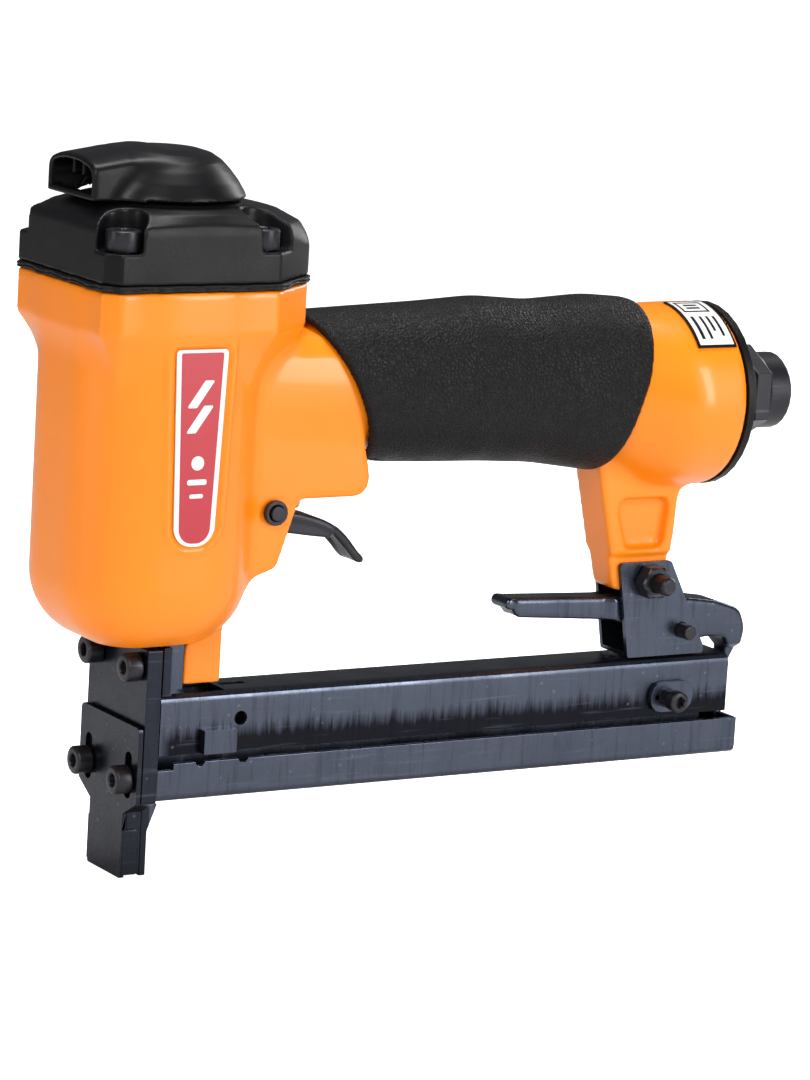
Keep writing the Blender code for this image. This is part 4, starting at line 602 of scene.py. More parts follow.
def grip_field(x, y, z):
    front = grip_front()
    side = [(front[0][0] - 1.6, 146.0)] + front + [(front[-1][0] + 1.0, 84.0)] + GRIP_REAR
    field = limit(stations_distance(x, y, z, HANDLE, 0.0, OVAL_POWER), outline_distance(x, z, side), 1.4)
    core = np.minimum(stations_distance(x, y, z, HANDLE, GRIP_WALL - GAP, OVAL_POWER),
                      stations_distance(x, y, z, BELL, -GAP, 2.0))
    return np.maximum(field, -core)


cast("rubber_grip", grip_field, 0.7, "grip_rubber")

# %% [markdown]
# ## Sheet steel and turned pieces
# These keep the frame's own shape. A real folded or sawn edge is never perfectly sharp, so each is
# copied, its flat faces are merged, and its edges get a small rounded bevel that catches the light.

# %% Rounded copies
BEVELLED_ANGLE = 28.0         # an edge that turns by more, in degrees, gets a bevel
HARD_ANGLE = 40.0             # and one that still turns by more than this is shaded hard


def refined(node, body, slot, width, segments=2):
    mesh = frame["nodes"][node].data.copy()
    bm = bmesh.new()
    bm.from_mesh(mesh)
    bmesh.ops.remove_doubles(bm, verts=bm.verts, dist=1e-6)
    bmesh.ops.dissolve_limit(bm, angle_limit=math.radians(1.0), verts=bm.verts, edges=bm.edges)
    least = math.radians(BEVELLED_ANGLE)
    sharp = [e for e in bm.edges if len(e.link_faces) == 2 and e.calc_face_angle(0.0) > least]
    bmesh.ops.bevel(bm, geom=sharp, offset=width * MM, segments=segments, profile=0.5, affect="EDGES",
                    clamp_overlap=True)
    bmesh.ops.recalc_face_normals(bm, faces=bm.faces)
    bm.to_mesh(mesh)
    bm.free()
    mesh.materials.clear()
    mesh.shade_smooth()
    mesh.set_sharp_from_angle(angle=math.radians(HARD_ANGLE))
    piece = placed(node + "_finished", mesh)
    piece.modifiers.new("flat_faces", "WEIGHTED_NORMAL").keep_sharp = True
    shown(piece, slot, body, node)


STEEL = {"nose_plate": 0.3, "nose_cover": 0.35, "driver_guide": 0.25, "fixed_magazine": 0.28,
         "rear_bracket": 0.3, "stop_plate": 0.25}
for node, width in STEEL.items():
    refined(node, "frame", "blued_steel", width)
refined("sliding_magazine", "magazine_slide", "blued_steel", 0.28)
refined("end_cap", "frame", "black_casting", 0.4, 3)
for node in ("inlet_adapter", "bracket_nut", "bracket_bolt", "trigger_pin", "trigger_washer_left",
             "trigger_washer_right", "latch_pin"):
    refined(node, "frame", "screw_steel", 0.25)

# %% [markdown]
# ## Trigger and latch lever
# Both are pressed from sheet. Their sides are drawn as outlines with generous corners, the sheet's
# underside is hollowed, and the finger's end of the trigger is rolled over like a spoon.

# %% Pressed sheets
def sheet_line(x, z, points):
    """Distance to a bent line, for a sheet seen from its edge."""
    nearest = np.full(np.broadcast(x, z).shape, FAR, np.float32)
    for (ax, az), (bx, bz) in zip(points, points[1:]):
        ex, ez = bx - ax, bz - az
        along = np.clip(((x - ax) * ex + (z - az) * ez) / (ex * ex + ez * ez), 0.0, 1.0)
        nearest = np.minimum(nearest, (x - ax - ex * along) ** 2 + (z - az - ez * along) ** 2)
    return np.sqrt(nearest)


def softened(points, times=3):
    """An open line with its corners cut again and again, until it runs smoothly."""
    for _ in range(times):
        cut = [points[0]]
        for (ax, ay), (bx, by) in zip(points, points[1:]):
            cut += [(ax * 0.75 + bx * 0.25, ay * 0.75 + by * 0.25), (ax * 0.25 + bx * 0.75,
                                                                     ay * 0.25 + by * 0.75)]
        points = cut + [points[-1]]
    return points


TRIGGER_HALF = 5.0
TRIGGER_INSIDE = 3.6
BOSS_RADIUS = 3.6
TRIGGER_SHEET = 0.85          # half of the sheet's thickness


def trigger_field(x, y, z):
    px, pz = TRIGGER_PIVOT
    top = [(px + a, pz + b) for a, b in ((3.0, -2.1), (11.0, -3.1), (17.5, -4.4), (22.6, -6.9),
                                         (26.6, -10.4),
                                         (28.6, -13.8), (30.4, -14.9))]
    half = TRIGGER_HALF - 0.7 * np.clip((x - px - 22.0) / 6.0, 0.0, 1.0)
    sheet = limit(sheet_line(x, z, softened(top)) - TRIGGER_SHEET, np.abs(y) - half, 0.7)
    boss = circle(TRIGGER_PIVOT, BOSS_RADIUS)
    flange = rounded([(px + 1.0, pz - 1.6), (px + 12.0, pz - 2.6), (px + 22.0, pz - 6.6),
                      (px + 21.0, pz - 8.9),
                      (px + 15.0, pz - 8.1), (px + 3.4, pz - 6.3)], [0.0, 0.0, 0.8, 1.5, 3.0, 2.5], 6)
    side = join(outline_distance(x, z, flange), outline_distance(x, z, boss), 1.5)
    side = limit(side, between(np.abs(y), TRIGGER_INSIDE, TRIGGER_HALF), 0.5)
    web = limit(outline_distance(x, z, boss), np.abs(y) - TRIGGER_HALF, 0.5)
    field = join(join(sheet, side, 0.7), web, 0.4)
    rolled = sheet_line(x, z, [(px + 22.5, pz - 7.4), (px + 29.6, pz - 14.3)])
    ridge = np.hypot(rolled, np.abs(y) - TRIGGER_INSIDE) - 1.0
    field = join(field, ridge, 0.8)
    return np.maximum(field, PIN_HOLE_RADIUS - np.hypot(x - px, z - pz))


cast("trigger", trigger_field, 0.3, "screw_steel", "trigger")

LATCH_PIVOT = (156.0, 51.5)
LATCH_HOLE_RADIUS = 2.15
LATCH_SHEET = 1.25
LEVER_HALF = 3.8
LEVER = [(102.9, 60.0), (103.4, 62.1), (108.0, 61.9), (130.0, 61.0), (150.0, 60.3), (160.0, 59.3),
         (168.0, 58.2),
         (175.8, 55.6), (177.9, 50.4), (176.8, 45.6), (174.5, 41.4), (172.8, 41.4), (172.7, 45.0),
         (171.4, 48.2),
         (166.0, 48.6), (156.0, 47.6), (146.0, 50.6), (136.0, 54.6), (107.0, 56.8), (105.2, 59.0)]
LEVER_CORNERS = [1.0, 0.9, 4.0, 6.0, 6.0, 8.0, 10.0, 4.0, 6.0, 4.0, 0.7, 0.7, 2.0, 1.8, 3.0, 10.0, 8.0, 6.0,
                 2.0, 1.0]


def lever_field(x, y, z):
    across = LEVER_HALF + 0.9 * np.clip((x - 133.0) / 3.0, 0.0, 1.0)
    across = across - 1.9 * np.clip((46.4 - z) / 1.5, 0.0, 1.0) * (x > 168.0)
    outline = outline_distance(x, z, rounded(LEVER, LEVER_CORNERS))
    field = limit(outline, np.abs(y) - across, 1.3)
    inside = np.abs(y) - across + LATCH_SHEET
    inner = np.maximum(outline + LATCH_SHEET, inside)
    underside = np.interp(x, [104.0, 136.0, 146.0, 156.0, 168.0], [57.2, 55.2, 51.2, 48.2, 48.6])
    below = np.maximum(underside + 1.6 - z, -9.0)
    open_low = np.maximum(np.maximum(-below, between(x, 107.0, 171.0)), inside)
    field = carve(field, np.minimum(inner, np.maximum(open_low, outline - 3.0)), 0.4)
    lip = np.hypot(x - 104.6, z - 60.4) - 1.3
    field = join(field, limit(lip, np.abs(y) - LEVER_HALF, 0.8), 0.8)
    return np.maximum(field, LATCH_HOLE_RADIUS - np.hypot(x - LATCH_PIVOT[0], z - LATCH_PIVOT[1]))


cast("latch_lever", lever_field, 0.35, "blued_steel", "latch")

# %% [markdown]
# ## Screws
# All socket screws come from one Geometry Nodes tree. It takes a cloud of points, one for each screw,
# puts a screw with the given head and shank on each, turns it to the side that its head faces, and
# realises the result as one plain mesh for each size.

# %% One screw as a mesh
def screw_template(name, head, height, flats, shank, length, knurls=0):
    """A socket screw along Z with its seat at the origin; the head is knurled if knurls is given."""
    steps = knurls * 2 if knurls else 48
    bm = bmesh.new()

    def ring_at(radius, z, knurled=0.0, hexagon=False):
        ring = []
        for i in range(steps):
            turn = math.tau * i / steps
            reach = radius - (knurled if i % 2 else 0.0)
            if hexagon:
                reach = radius / math.cos((turn + math.pi / 6) % (math.pi / 3) - math.pi / 6)
            ring.append(bm.verts.new(Vector((reach * math.cos(turn), reach * math.sin(turn), z)) * MM))
        return ring

    groove = 0.14 if knurls else 0.0
    rings = [ring_at(shank * 0.8, -length), ring_at(shank, -length + 0.6), ring_at(shank, 0.0),
             ring_at(head - 0.2, 0.0), ring_at(head, 0.2, groove), ring_at(head, height - 0.6, groove),
             ring_at(head - 0.12, height - 0.3), ring_at(head - 0.45, height - 0.06), ring_at(head - 0.8,
                                                                                              height),
             ring_at(flats / 2 + 0.3, height), ring_at(flats / 2, height - 0.25, hexagon=True),
             ring_at(flats / 2, height * 0.42, hexagon=True)]
    for low_ring, high_ring in zip(rings, rings[1:]):
        for i in range(steps):
            after = (i + 1) % steps
            bm.faces.new((low_ring[i], low_ring[after], high_ring[after], high_ring[i]))
    bm.faces.new(list(reversed(rings[0])))
    bm.faces.new(rings[-1])
    return object_from(bm, name, 38.0)


# %% The tree that places them
def screw_tree():
    tree = bpy.data.node_groups.new("place_screws", "GeometryNodeTree")
    for label, way, kind in (("Geometry", "INPUT", "Geometry"), ("Screw", "INPUT", "Object"),
                             ("Facing", "INPUT", "Vector"), ("Finish", "INPUT", "Material"),
                             ("Geometry", "OUTPUT", "Geometry")):
        tree.interface.new_socket(name=label, in_out=way, socket_type="NodeSocket" + kind)
    start = tree.nodes.new("NodeGroupInput")
    info = tree.nodes.new("GeometryNodeObjectInfo")
    align = tree.nodes.new("FunctionNodeAlignRotationToVector")
    spin = tree.nodes.new("FunctionNodeRandomValue")
    spin.data_type = "FLOAT"
    spin.inputs[3].default_value = 1.0
    turned = tree.nodes.new("FunctionNodeAxisAngleToRotation")
    both = tree.nodes.new("FunctionNodeRotateRotation")
    both.rotation_space = "LOCAL"
    points = tree.nodes.new("GeometryNodeInstanceOnPoints")
    real = tree.nodes.new("GeometryNodeRealizeInstances")
    paint = tree.nodes.new("GeometryNodeSetMaterial")
    end = tree.nodes.new("NodeGroupOutput")
    link = tree.links.new
    link(start.outputs["Screw"], info.inputs["Object"])
    link(start.outputs["Facing"], align.inputs["Vector"])
    link(spin.outputs[1], turned.inputs["Angle"])
    link(align.outputs["Rotation"], both.inputs["Rotation"])
    link(turned.outputs["Rotation"], both.inputs["Rotate By"])
    link(start.outputs["Geometry"], points.inputs["Points"])
    link(info.outputs["Geometry"], points.inputs["Instance"])
    link(both.outputs["Rotation"], points.inputs["Rotation"])
    link(points.outputs["Instances"], real.inputs["Geometry"])
    link(real.outputs["Geometry"], paint.inputs["Geometry"])
    link(start.outputs["Finish"], paint.inputs["Material"])
    link(paint.outputs["Geometry"], end.inputs["Geometry"])
    return tree


SCREW_TREE = screw_tree()
SCREW_FINISH = bpy.data.materials.new("screw_steel_placed")


def place_screws(name, template, seats, facing, nodes):
    """One mesh with a screw on each seat, standing in for the nodes."""
    cloud = bpy.data.meshes.new(name + "_seats")
    cloud.from_pydata([Vector(seat) * MM for seat in seats], [], [])
    holder = placed(name, cloud)
    modifier = holder.modifiers.new("screws", "NODES")
    modifier.node_group = SCREW_TREE
    items = SCREW_TREE.interface.items_tree
    sockets = {item.name: item.identifier for item in items if item.in_out == "INPUT"}
    modifier[sockets["Screw"]] = template
    modifier[sockets["Facing"]] = facing
    modifier[sockets["Finish"]] = SCREW_FINISH
    bpy.context.view_layer.update()
    evaluated = holder.evaluated_get(bpy.context.evaluated_depsgraph_get())
    screws = bpy.data.meshes.new_from_object(evaluated)
    holder.modifiers.remove(modifier)
    holder.data = screws
    bpy.data.objects.remove(template)
    shown(holder, "screw_steel", "frame", *nodes)
    print(f"{name}: {len(seats)} screws, {len(screws.polygons)} faces")


# %% Screws in place
M5 = (4.25, 5.0, 4.0, 2.5)            # head radius, head height, hexagon across flats, shank radius
M4 = (3.5, 4.0, 3.0, 2.0)
M3 = (2.75, 3.0, 2.5, 1.5)
COVER_SCREW_LENGTH = 20.0
COVER_SCREW_KNURLS = 36
BETWEEN_NOSE_ROWS = 40.0


def middle_mm(node):
    return [(low + high) / 2 for low, high in zip(low_mm(node), high_mm(node))]


NOSE = [f"nose_screw_{i}" for i in range(1, 5)]
place_screws("cover_screws", screw_template("m5", *M5, COVER_SCREW_LENGTH, COVER_SCREW_KNURLS),
             [(x, y, SCREW_SEAT + GAP) for x, y in SCREW_PLACES], (0.0, 0.0, 1.0),
             [f"cover_screw_{i}" for i in range(1, 5)])
for label, names in (("nose_screws_high", [n for n in NOSE if low_mm(n).z > BETWEEN_NOSE_ROWS]),
                     ("nose_screws_low", [n for n in NOSE if low_mm(n).z < BETWEEN_NOSE_ROWS])):
    seats = [(low_mm(n).x + M4[1], *middle_mm(n)[1:]) for n in names]
    length = high_mm(names[0]).x - seats[0][0]
    place_screws(label, screw_template(label + "_m4", *M4, length), seats, (-1.0, 0.0, 0.0), names)
stop_x, _, stop_z = middle_mm("stop_screw")
stop_y = low_mm("stop_screw").y + M3[1]
length = high_mm("stop_screw").y - low_mm("stop_screw").y - M3[1]
place_screws("stop_screws", screw_template("m3", *M3, length),
             [(stop_x, stop_y, stop_z)], (0.0, -1.0, 0.0), ["stop_screw"])

# %% [markdown]
# ## Labels
# The front label is a white plate with a red field standing a few hundredths of a millimetre above it,
# and a few plain marks. The rear label is a curved black plate with a white field. No label carries any
# words.

# %% Label pieces
LABEL_BACK = high_mm("name_plate").y
LABEL_FRONT = low_mm("name_plate").y


def plate(name, outline, start, end):
    """A flat piece with an outline in X and Z, from one Y to another."""
    bm = bmesh.new()
    loops = [[bm.verts.new(Vector((a, y, b)) * MM) for a, b in outline] for y in (start, end)]
    count = len(outline)
    bm.faces.new(loops[0])
    bm.faces.new(loops[1])
    for index in range(count):
        after = (index + 1) % count
        bm.faces.new((loops[0][index], loops[0][after], loops[1][after], loops[1][index]))
    return object_from(bm, name)


def on_bell(x, degrees, radius):
    """A point round the bell, by its angle from the top towards the near side."""
    turn = math.radians(degrees)
    return Vector((x, -radius * math.sin(turn), BELL_CENTRE + radius * math.cos(turn))) * MM


BORDER_STEP = 0.06            # the white border lies this far behind the red field
MARK_STEP = 0.04              # and a mark stands this far before it
border = plate("label_border", label_outline(0.0), LABEL_BACK, LABEL_FRONT + BORDER_STEP)
shown(border, "label_white", "frame", "name_plate")
red = plate("label_field", label_outline(-1.25), LABEL_FRONT + 0.1, LABEL_FRONT)
shown(red, "label_red", "frame")
marks = [rounded([(-3.6, 118.0), (-1.0, 118.0), (3.6, 124.5), (1.0, 124.5)], 0.3),
         rounded([(-3.6, 112.0), (-1.0, 112.0), (3.6, 118.5), (1.0, 118.5)], 0.3),
         rounded(rectangle(-2.6, 99.6, 2.6, 100.9), 0.5), rounded(rectangle(-1.8, 96.4, 1.8, 97.4), 0.4),
         circle((0.0, 104.8), 1.7)]
for index, outline in enumerate(marks):
    mark = plate(f"label_mark_{index + 1}", outline, LABEL_FRONT + 0.05, LABEL_FRONT - MARK_STEP)
    shown(mark, "label_white", "frame")


def wrapped(name, left, right, start, end, low, high, slot, steps=24):
    """A patch round the bell, from left to right along X and from start to end degrees."""
    turns = [start + (end - start) * i / steps for i in range(steps + 1)]
    bm = bmesh.new()
    rows = [[bm.verts.new(on_bell(x, turn, radius)) for turn in turns]
            for x, radius in ((left, low), (left, high), (right, high), (right, low))]
    for index in range(4):
        after = rows[(index + 1) % 4]
        for i in range(steps):
            bm.faces.new((rows[index][i], rows[index][i + 1], after[i + 1], after[i]))
    bm.faces.new([row[0] for row in rows])
    bm.faces.new([row[-1] for row in rows])
    return shown(object_from(bm, name, HARD_ANGLE), slot, "frame")


LEFT, RIGHT = low_mm("rear_label").x, high_mm("rear_label").x
back = wrapped("rear_label_back", LEFT, RIGHT, 4.0, 52.0, BELL_RADIUS + 0.15, BELL_RADIUS + 0.45,
               "black_plastic")
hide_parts("rear_label")
FIELD_TOP = BELL_RADIUS + 0.5
wrapped("rear_label_field", LEFT + 0.7, RIGHT - 0.7, 5.8, 50.2, BELL_RADIUS + 0.4, FIELD_TOP, "label_white")
RULES = [(1.6, 2.2, 8.0, 22.0), (1.6, 9.6, 8.0, 9.4), (1.6, 9.6, 20.6, 22.0), (9.0, 9.6, 8.0, 22.0),
         (3.6, 7.6, 12.0, 14.0), (3.6, 7.6, 16.0, 18.0), (2.0, 3.0, 27.0, 46.0), (4.6, 5.4, 27.0, 46.0),
         (6.6, 7.4, 27.0, 40.0), (8.6, 9.4, 27.0, 44.0)]
for index, (near, far, start, end) in enumerate(RULES):         # from and to, along X and in degrees
    wrapped(f"rear_label_rule_{index + 1}", LEFT + near, LEFT + far, start, end, FIELD_TOP - 0.05,
            FIELD_TOP + MARK_STEP, "black_plastic", steps=6)

# %% [markdown]
# ## Surfaces
# Every surface is worked out from the place on the part, so nothing has to be unwrapped. Two small groups
# are shared: a fine grain, which is the skin of cast metal, paint or rubber, and the marks of handling,
# which are streaks and pale specks.

# %% Shader groups
def new_group(name, outputs, inputs=()):
    tree = bpy.data.node_groups.new(name, "ShaderNodeTree")
    for label, value in inputs:
        socket = tree.interface.new_socket(name=label, in_out="INPUT", socket_type="NodeSocketFloat")
        socket.default_value = value
    for label in outputs:
        tree.interface.new_socket(name=label, in_out="OUTPUT", socket_type="NodeSocketFloat")
    return tree


def node_of(tree, kind, **settings):
    node = tree.nodes.new(kind)
    for label, value in settings.items():
        if label in node.inputs:
            node.inputs[label].default_value = value
        else:
            setattr(node, label.lower(), value)
    return node


def ramp(tree, source, low, high):
    """A mask that is 0 below the first value and 1 above the second."""
    node = tree.nodes.new("ShaderNodeMapRange")
    node.inputs["From Min"].default_value = low
    node.inputs["From Max"].default_value = high
    tree.links.new(source, node.inputs["Value"])
    return node.outputs["Result"]


def object_place(tree):
    return tree.nodes.new("ShaderNodeTexCoord").outputs["Object"]


def worked_out(tree, operation, *values):
    """The result of a Math node on sockets and plain numbers."""
    node = tree.nodes.new("ShaderNodeMath")
    node.operation = operation
    for value, socket in zip(values, node.inputs):
        if isinstance(value, float):
            socket.default_value = value
        else:
            tree.links.new(value, socket)
    return node.outputs[0]


def grain_group():
    tree = new_group("fine_grain", ["Height", "Patches"], [("Scale", 900.0), ("Patch Scale", 60.0)])
    start = tree.nodes.new("NodeGroupInput")
    end = tree.nodes.new("NodeGroupOutput")
    place = object_place(tree)
    fine = node_of(tree, "ShaderNodeTexNoise", Detail=3.0, Roughness=0.6)
    broad = node_of(tree, "ShaderNodeTexNoise", Detail=4.0, Roughness=0.6)
    for node, label in ((fine, "Scale"), (broad, "Patch Scale")):
        tree.links.new(place, node.inputs["Vector"])
        tree.links.new(start.outputs[label], node.inputs["Scale"])
    tree.links.new(fine.outputs["Fac"], end.inputs["Height"])
    tree.links.new(ramp(tree, broad.outputs["Fac"], 0.3, 0.7), end.inputs["Patches"])
    return tree


def wear_group():
    tree = new_group("handling_marks", ["Streaks", "Streak Noise", "Specks", "Scratches"],
                     [("Streak Scale", 500.0)])
    start = tree.nodes.new("NodeGroupInput")
    end = tree.nodes.new("NodeGroupOutput")
    place = object_place(tree)
    stretch = tree.nodes.new("ShaderNodeMapping")
    stretch.inputs["Scale"].default_value = (1.0, 1.0, 0.06)
    tree.links.new(place, stretch.inputs["Vector"])
    streak = node_of(tree, "ShaderNodeTexNoise", Detail=4.0, Roughness=0.7)
    tree.links.new(stretch.outputs["Vector"], streak.inputs["Vector"])
    tree.links.new(start.outputs["Streak Scale"], streak.inputs["Scale"])
    tree.links.new(ramp(tree, streak.outputs["Fac"], 0.52, 0.72), end.inputs["Streaks"])
    tree.links.new(streak.outputs["Fac"], end.inputs["Streak Noise"])
    speck = node_of(tree, "ShaderNodeTexVoronoi", Scale=260.0, Randomness=1.0)
    tree.links.new(place, speck.inputs["Vector"])
    tree.links.new(ramp(tree, speck.outputs["Distance"], 0.13, 0.06), end.inputs["Specks"])
    along = tree.nodes.new("ShaderNodeMapping")
    along.inputs["Scale"].default_value = (0.05, 1.0, 1.0)
    along.inputs["Rotation"].default_value = (0.0, 0.03, 0.0)
    tree.links.new(place, along.inputs["Vector"])
    scratch = node_of(tree, "ShaderNodeTexNoise", Scale=900.0, Detail=2.0)
    tree.links.new(along.outputs["Vector"], scratch.inputs["Vector"])
    tree.links.new(ramp(tree, scratch.outputs["Fac"], 0.62, 0.78), end.inputs["Scratches"])
    return tree


GRAIN = grain_group()
WEAR = wear_group()


# %% Materials
def srgb(red, green, blue):
    """Linear colour from the 0 to 255 values of a colour chart."""
    channels = [value / 255 for value in (red, green, blue)]
    return tuple(c / 12.92 if c <= 0.04045 else ((c + 0.055) / 1.055) ** 2.4 for c in channels) + (1.0,)


class Finish:
    """A Principled material and the few connections that most of them share."""

    def __init__(self, name, colour, roughness, metallic=0.0, coat=0.0, coat_roughness=0.08, specular=0.5):
        self.material = bpy.data.materials.new(name)
        self.material.use_nodes = True
        self.tree = self.material.node_tree
        self.shader = self.tree.nodes["Principled BSDF"]
        self.colour, self.roughness = colour, roughness
        values = {"Base Color": colour, "Roughness": roughness, "Metallic": metallic, "Coat Weight": coat,
                  "Coat Roughness": coat_roughness, "Specular IOR Level": specular}
        for label, value in values.items():
            self.shader.inputs[label].default_value = value

    def group(self, tree, **values):
        node = self.tree.nodes.new("ShaderNodeGroup")
        node.node_tree = tree
        for label, value in values.items():
            node.inputs[label.replace("_", " ")].default_value = value
        return node

    def tint(self, mask, colour, amount):
        """Blends a colour in where the mask is high."""
        mix = self.tree.nodes.new("ShaderNodeMix")
        mix.data_type = "RGBA"
        self.tree.links.new(worked_out(self.tree, "MULTIPLY", mask, amount), mix.inputs["Factor"])
        source = self.shader.inputs["Base Color"]
        if source.is_linked:
            self.tree.links.new(source.links[0].from_socket, mix.inputs[6])
        else:
            mix.inputs[6].default_value = self.colour
        mix.inputs[7].default_value = colour
        self.tree.links.new(mix.outputs[2], source)

    def vary_roughness(self, mask, low, high):
        node = self.tree.nodes.new("ShaderNodeMapRange")
        node.inputs["To Min"].default_value = low
        node.inputs["To Max"].default_value = high
        self.tree.links.new(mask, node.inputs["Value"])
        self.tree.links.new(node.outputs["Result"], self.shader.inputs["Roughness"])

    def bump(self, height, strength, depth):
        """Depth is the relief in millimetres."""
        node = self.tree.nodes.new("ShaderNodeBump")
        node.inputs["Strength"].default_value = strength
        node.inputs["Distance"].default_value = depth * MM
        self.tree.links.new(height, node.inputs["Height"])
        source = self.shader.inputs["Normal"]
        if source.is_linked:
            self.tree.links.new(source.links[0].from_socket, node.inputs["Normal"])
        self.tree.links.new(node.outputs["Normal"], source)


def orange_paint():
    look = Finish("orange_paint", srgb(250, 136, 8), 0.38, coat=0.25, coat_roughness=0.12, specular=0.35)
    grain = look.group(GRAIN, Scale=420.0, Patch_Scale=35.0)
    look.tint(grain.outputs["Patches"], srgb(246, 128, 4), 0.5)
    look.bump(grain.outputs["Height"], 0.12, 0.05)
    return look.material


def cast_black(name, colour, roughness, scale, depth):
    look = Finish(name, colour, roughness, specular=0.2)
    grain = look.group(GRAIN, Scale=scale, Patch_Scale=90.0)
    look.vary_roughness(grain.outputs["Patches"], roughness - 0.05, roughness + 0.07)
    look.bump(grain.outputs["Height"], 0.5, depth)
    return look.material


PEBBLE_DRIFT = 1.6 * MM       # how far noise pulls the pebbles of the grain out of line


def grained_rubber():
    look = Finish("grip_rubber", srgb(13, 13, 14), 0.5, specular=0.2)
    tree = look.tree
    place = object_place(tree)
    drift = node_of(tree, "ShaderNodeTexNoise", Scale=260.0, Detail=2.0)
    tree.links.new(place, drift.inputs["Vector"])
    shift = tree.nodes.new("ShaderNodeVectorMath")
    shift.operation = "MULTIPLY_ADD"
    shift.inputs[1].default_value = (PEBBLE_DRIFT,) * 3
    tree.links.new(drift.outputs["Color"], shift.inputs[0])
    tree.links.new(place, shift.inputs[2])
    cells = node_of(tree, "ShaderNodeTexVoronoi", Scale=950.0)
    cells.feature = "DISTANCE_TO_EDGE"
    tree.links.new(shift.outputs["Vector"], cells.inputs["Vector"])
    pebbles = ramp(tree, cells.outputs["Distance"], 0.0, 0.22)
    look.bump(pebbles, 0.8, 0.16)
    grain = look.group(GRAIN, Scale=2200.0, Patch_Scale=120.0)
    look.bump(grain.outputs["Height"], 0.3, 0.04)
    look.vary_roughness(grain.outputs["Patches"], 0.44, 0.58)
    return look.material


def plain_rubber(name, colour):
    look = Finish(name, colour, 0.5, specular=0.2)
    grain = look.group(GRAIN, Scale=1500.0, Patch_Scale=300.0)
    look.bump(grain.outputs["Height"], 0.3, 0.04)
    return look.material


def painted_gap_shade(tree, noise):
    """Painted shade on the upper channel's sides, darker towards the bottom of the gap, in streaks of uneven
    height.
    """
    split = tree.nodes.new("ShaderNodeSeparateXYZ")
    tree.links.new(object_place(tree), split.inputs["Vector"])
    fade = ramp(tree, split.outputs["Z"], 0.0385, 0.0295)
    shade_streaks = ramp(tree, worked_out(tree, "ADD", fade, noise), 0.72, 1.12)
    across = worked_out(tree, "ABSOLUTE", split.outputs["Y"])
    for mask in (ramp(tree, split.outputs["Z"], 0.0288, 0.0292), ramp(tree, split.outputs["X"], 0.003,
                                                                      0.006),
                 ramp(tree, across, 0.0083, 0.0080)):
        shade_streaks = worked_out(tree, "MULTIPLY", shade_streaks, mask)
    return shade_streaks


def painted_nose_shade(tree):
    """Painted shade: the nose plates are made darker than the channels, where their steel reflects less
    light.
    """
    split = tree.nodes.new("ShaderNodeSeparateXYZ")
    tree.links.new(object_place(tree), split.inputs["Vector"])
    return ramp(tree, split.outputs["X"], 0.0016, 0.0012)


def blued_steel():
    look = Finish("blued_steel", srgb(80, 86, 99), 0.27, metallic=0.95)
    marks = look.group(WEAR, Streak_Scale=650.0)
    grain = look.group(GRAIN, Scale=1600.0, Patch_Scale=70.0)
    look.tint(grain.outputs["Patches"], srgb(62, 67, 79), 0.7)
    look.tint(marks.outputs["Streaks"], srgb(26, 28, 34), 0.45)
    # painted shade: the upper channel's sides are made darker towards the bottom, down into the gap between
    # the channels
    look.tint(painted_gap_shade(look.tree, marks.outputs["Streak Noise"]), srgb(10, 10, 12), 0.9)
    # painted shade: the nose plates darker, where the same steel reflects less light
    look.tint(painted_nose_shade(look.tree), srgb(30, 32, 38), 0.8)
    look.tint(marks.outputs["Specks"], srgb(150, 155, 165), 0.2)
    look.tint(marks.outputs["Scratches"], srgb(110, 118, 132), 0.25)
    look.vary_roughness(grain.outputs["Patches"], 0.20, 0.36)
    look.bump(grain.outputs["Height"], 0.25, 0.02)
    return look.material


def metal(name, colour, roughness, metallic=1.0, streaks=0.0):
    look = Finish(name, colour, roughness, metallic=metallic)
    grain = look.group(GRAIN, Scale=1400.0, Patch_Scale=150.0)
    look.vary_roughness(grain.outputs["Patches"], roughness - 0.06, roughness + 0.08)
    if streaks:
        marks = look.group(WEAR, Streak_Scale=900.0)
        look.tint(marks.outputs["Scratches"], srgb(120, 120, 124), streaks)
    look.bump(grain.outputs["Height"], 0.2, 0.02)
    return look.material


def printed(name, colour):
    look = Finish(name, colour, 0.32, coat=0.3, coat_roughness=0.1)
    grain = look.group(GRAIN, Scale=600.0, Patch_Scale=50.0)
    look.bump(grain.outputs["Height"], 0.08, 0.02)
    return look.material


LOOKS = {
    "orange_paint": orange_paint(),
    "black_casting": cast_black("black_casting", srgb(15, 15, 17), 0.38, 1300.0, 0.06),
    "black_plastic": cast_black("black_plastic", srgb(13, 13, 15), 0.36, 1900.0, 0.03),
    "grip_rubber": grained_rubber(),
    "seal_rubber": plain_rubber("seal_rubber", srgb(18, 18, 19)),
    "bumper_rubber": plain_rubber("bumper_rubber", srgb(50, 44, 40)),
    "blued_steel": blued_steel(),
    "screw_steel": metal("screw_steel", srgb(52, 52, 56), 0.36, 0.8, 0.3),
    "bright_steel": metal("bright_steel", srgb(190, 192, 196), 0.24),
    "spring_steel": metal("spring_steel", srgb(150, 152, 158), 0.3),
    "aluminium": metal("aluminium", srgb(200, 202, 205), 0.32),
    "brass": metal("brass", srgb(214, 176, 96), 0.28),
    "label_red": printed("label_red", srgb(178, 14, 38)),
    "label_white": printed("label_white", srgb(232, 232, 230)),
}
for obj in bpy.context.scene.objects:
    if obj.type != "MESH":
        continue
    known = obj.get("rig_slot")
    if not known and obj.data.materials:
        known = obj.data.materials[0].name.split(".")[0]
    if known in LOOKS:
        obj.data.materials.clear()
        obj.data.materials.append(LOOKS[known])
print("materials:", ", ".join(LOOKS))

# %% Camera
CAMERA_PLACE = Vector((-0.4961, -0.9187, 0.2847))
CAMERA_RIGHT = Vector((0.854, -0.5167, 0.0596))
CAMERA_UP = Vector((0.0473, 0.1913, 0.9804))

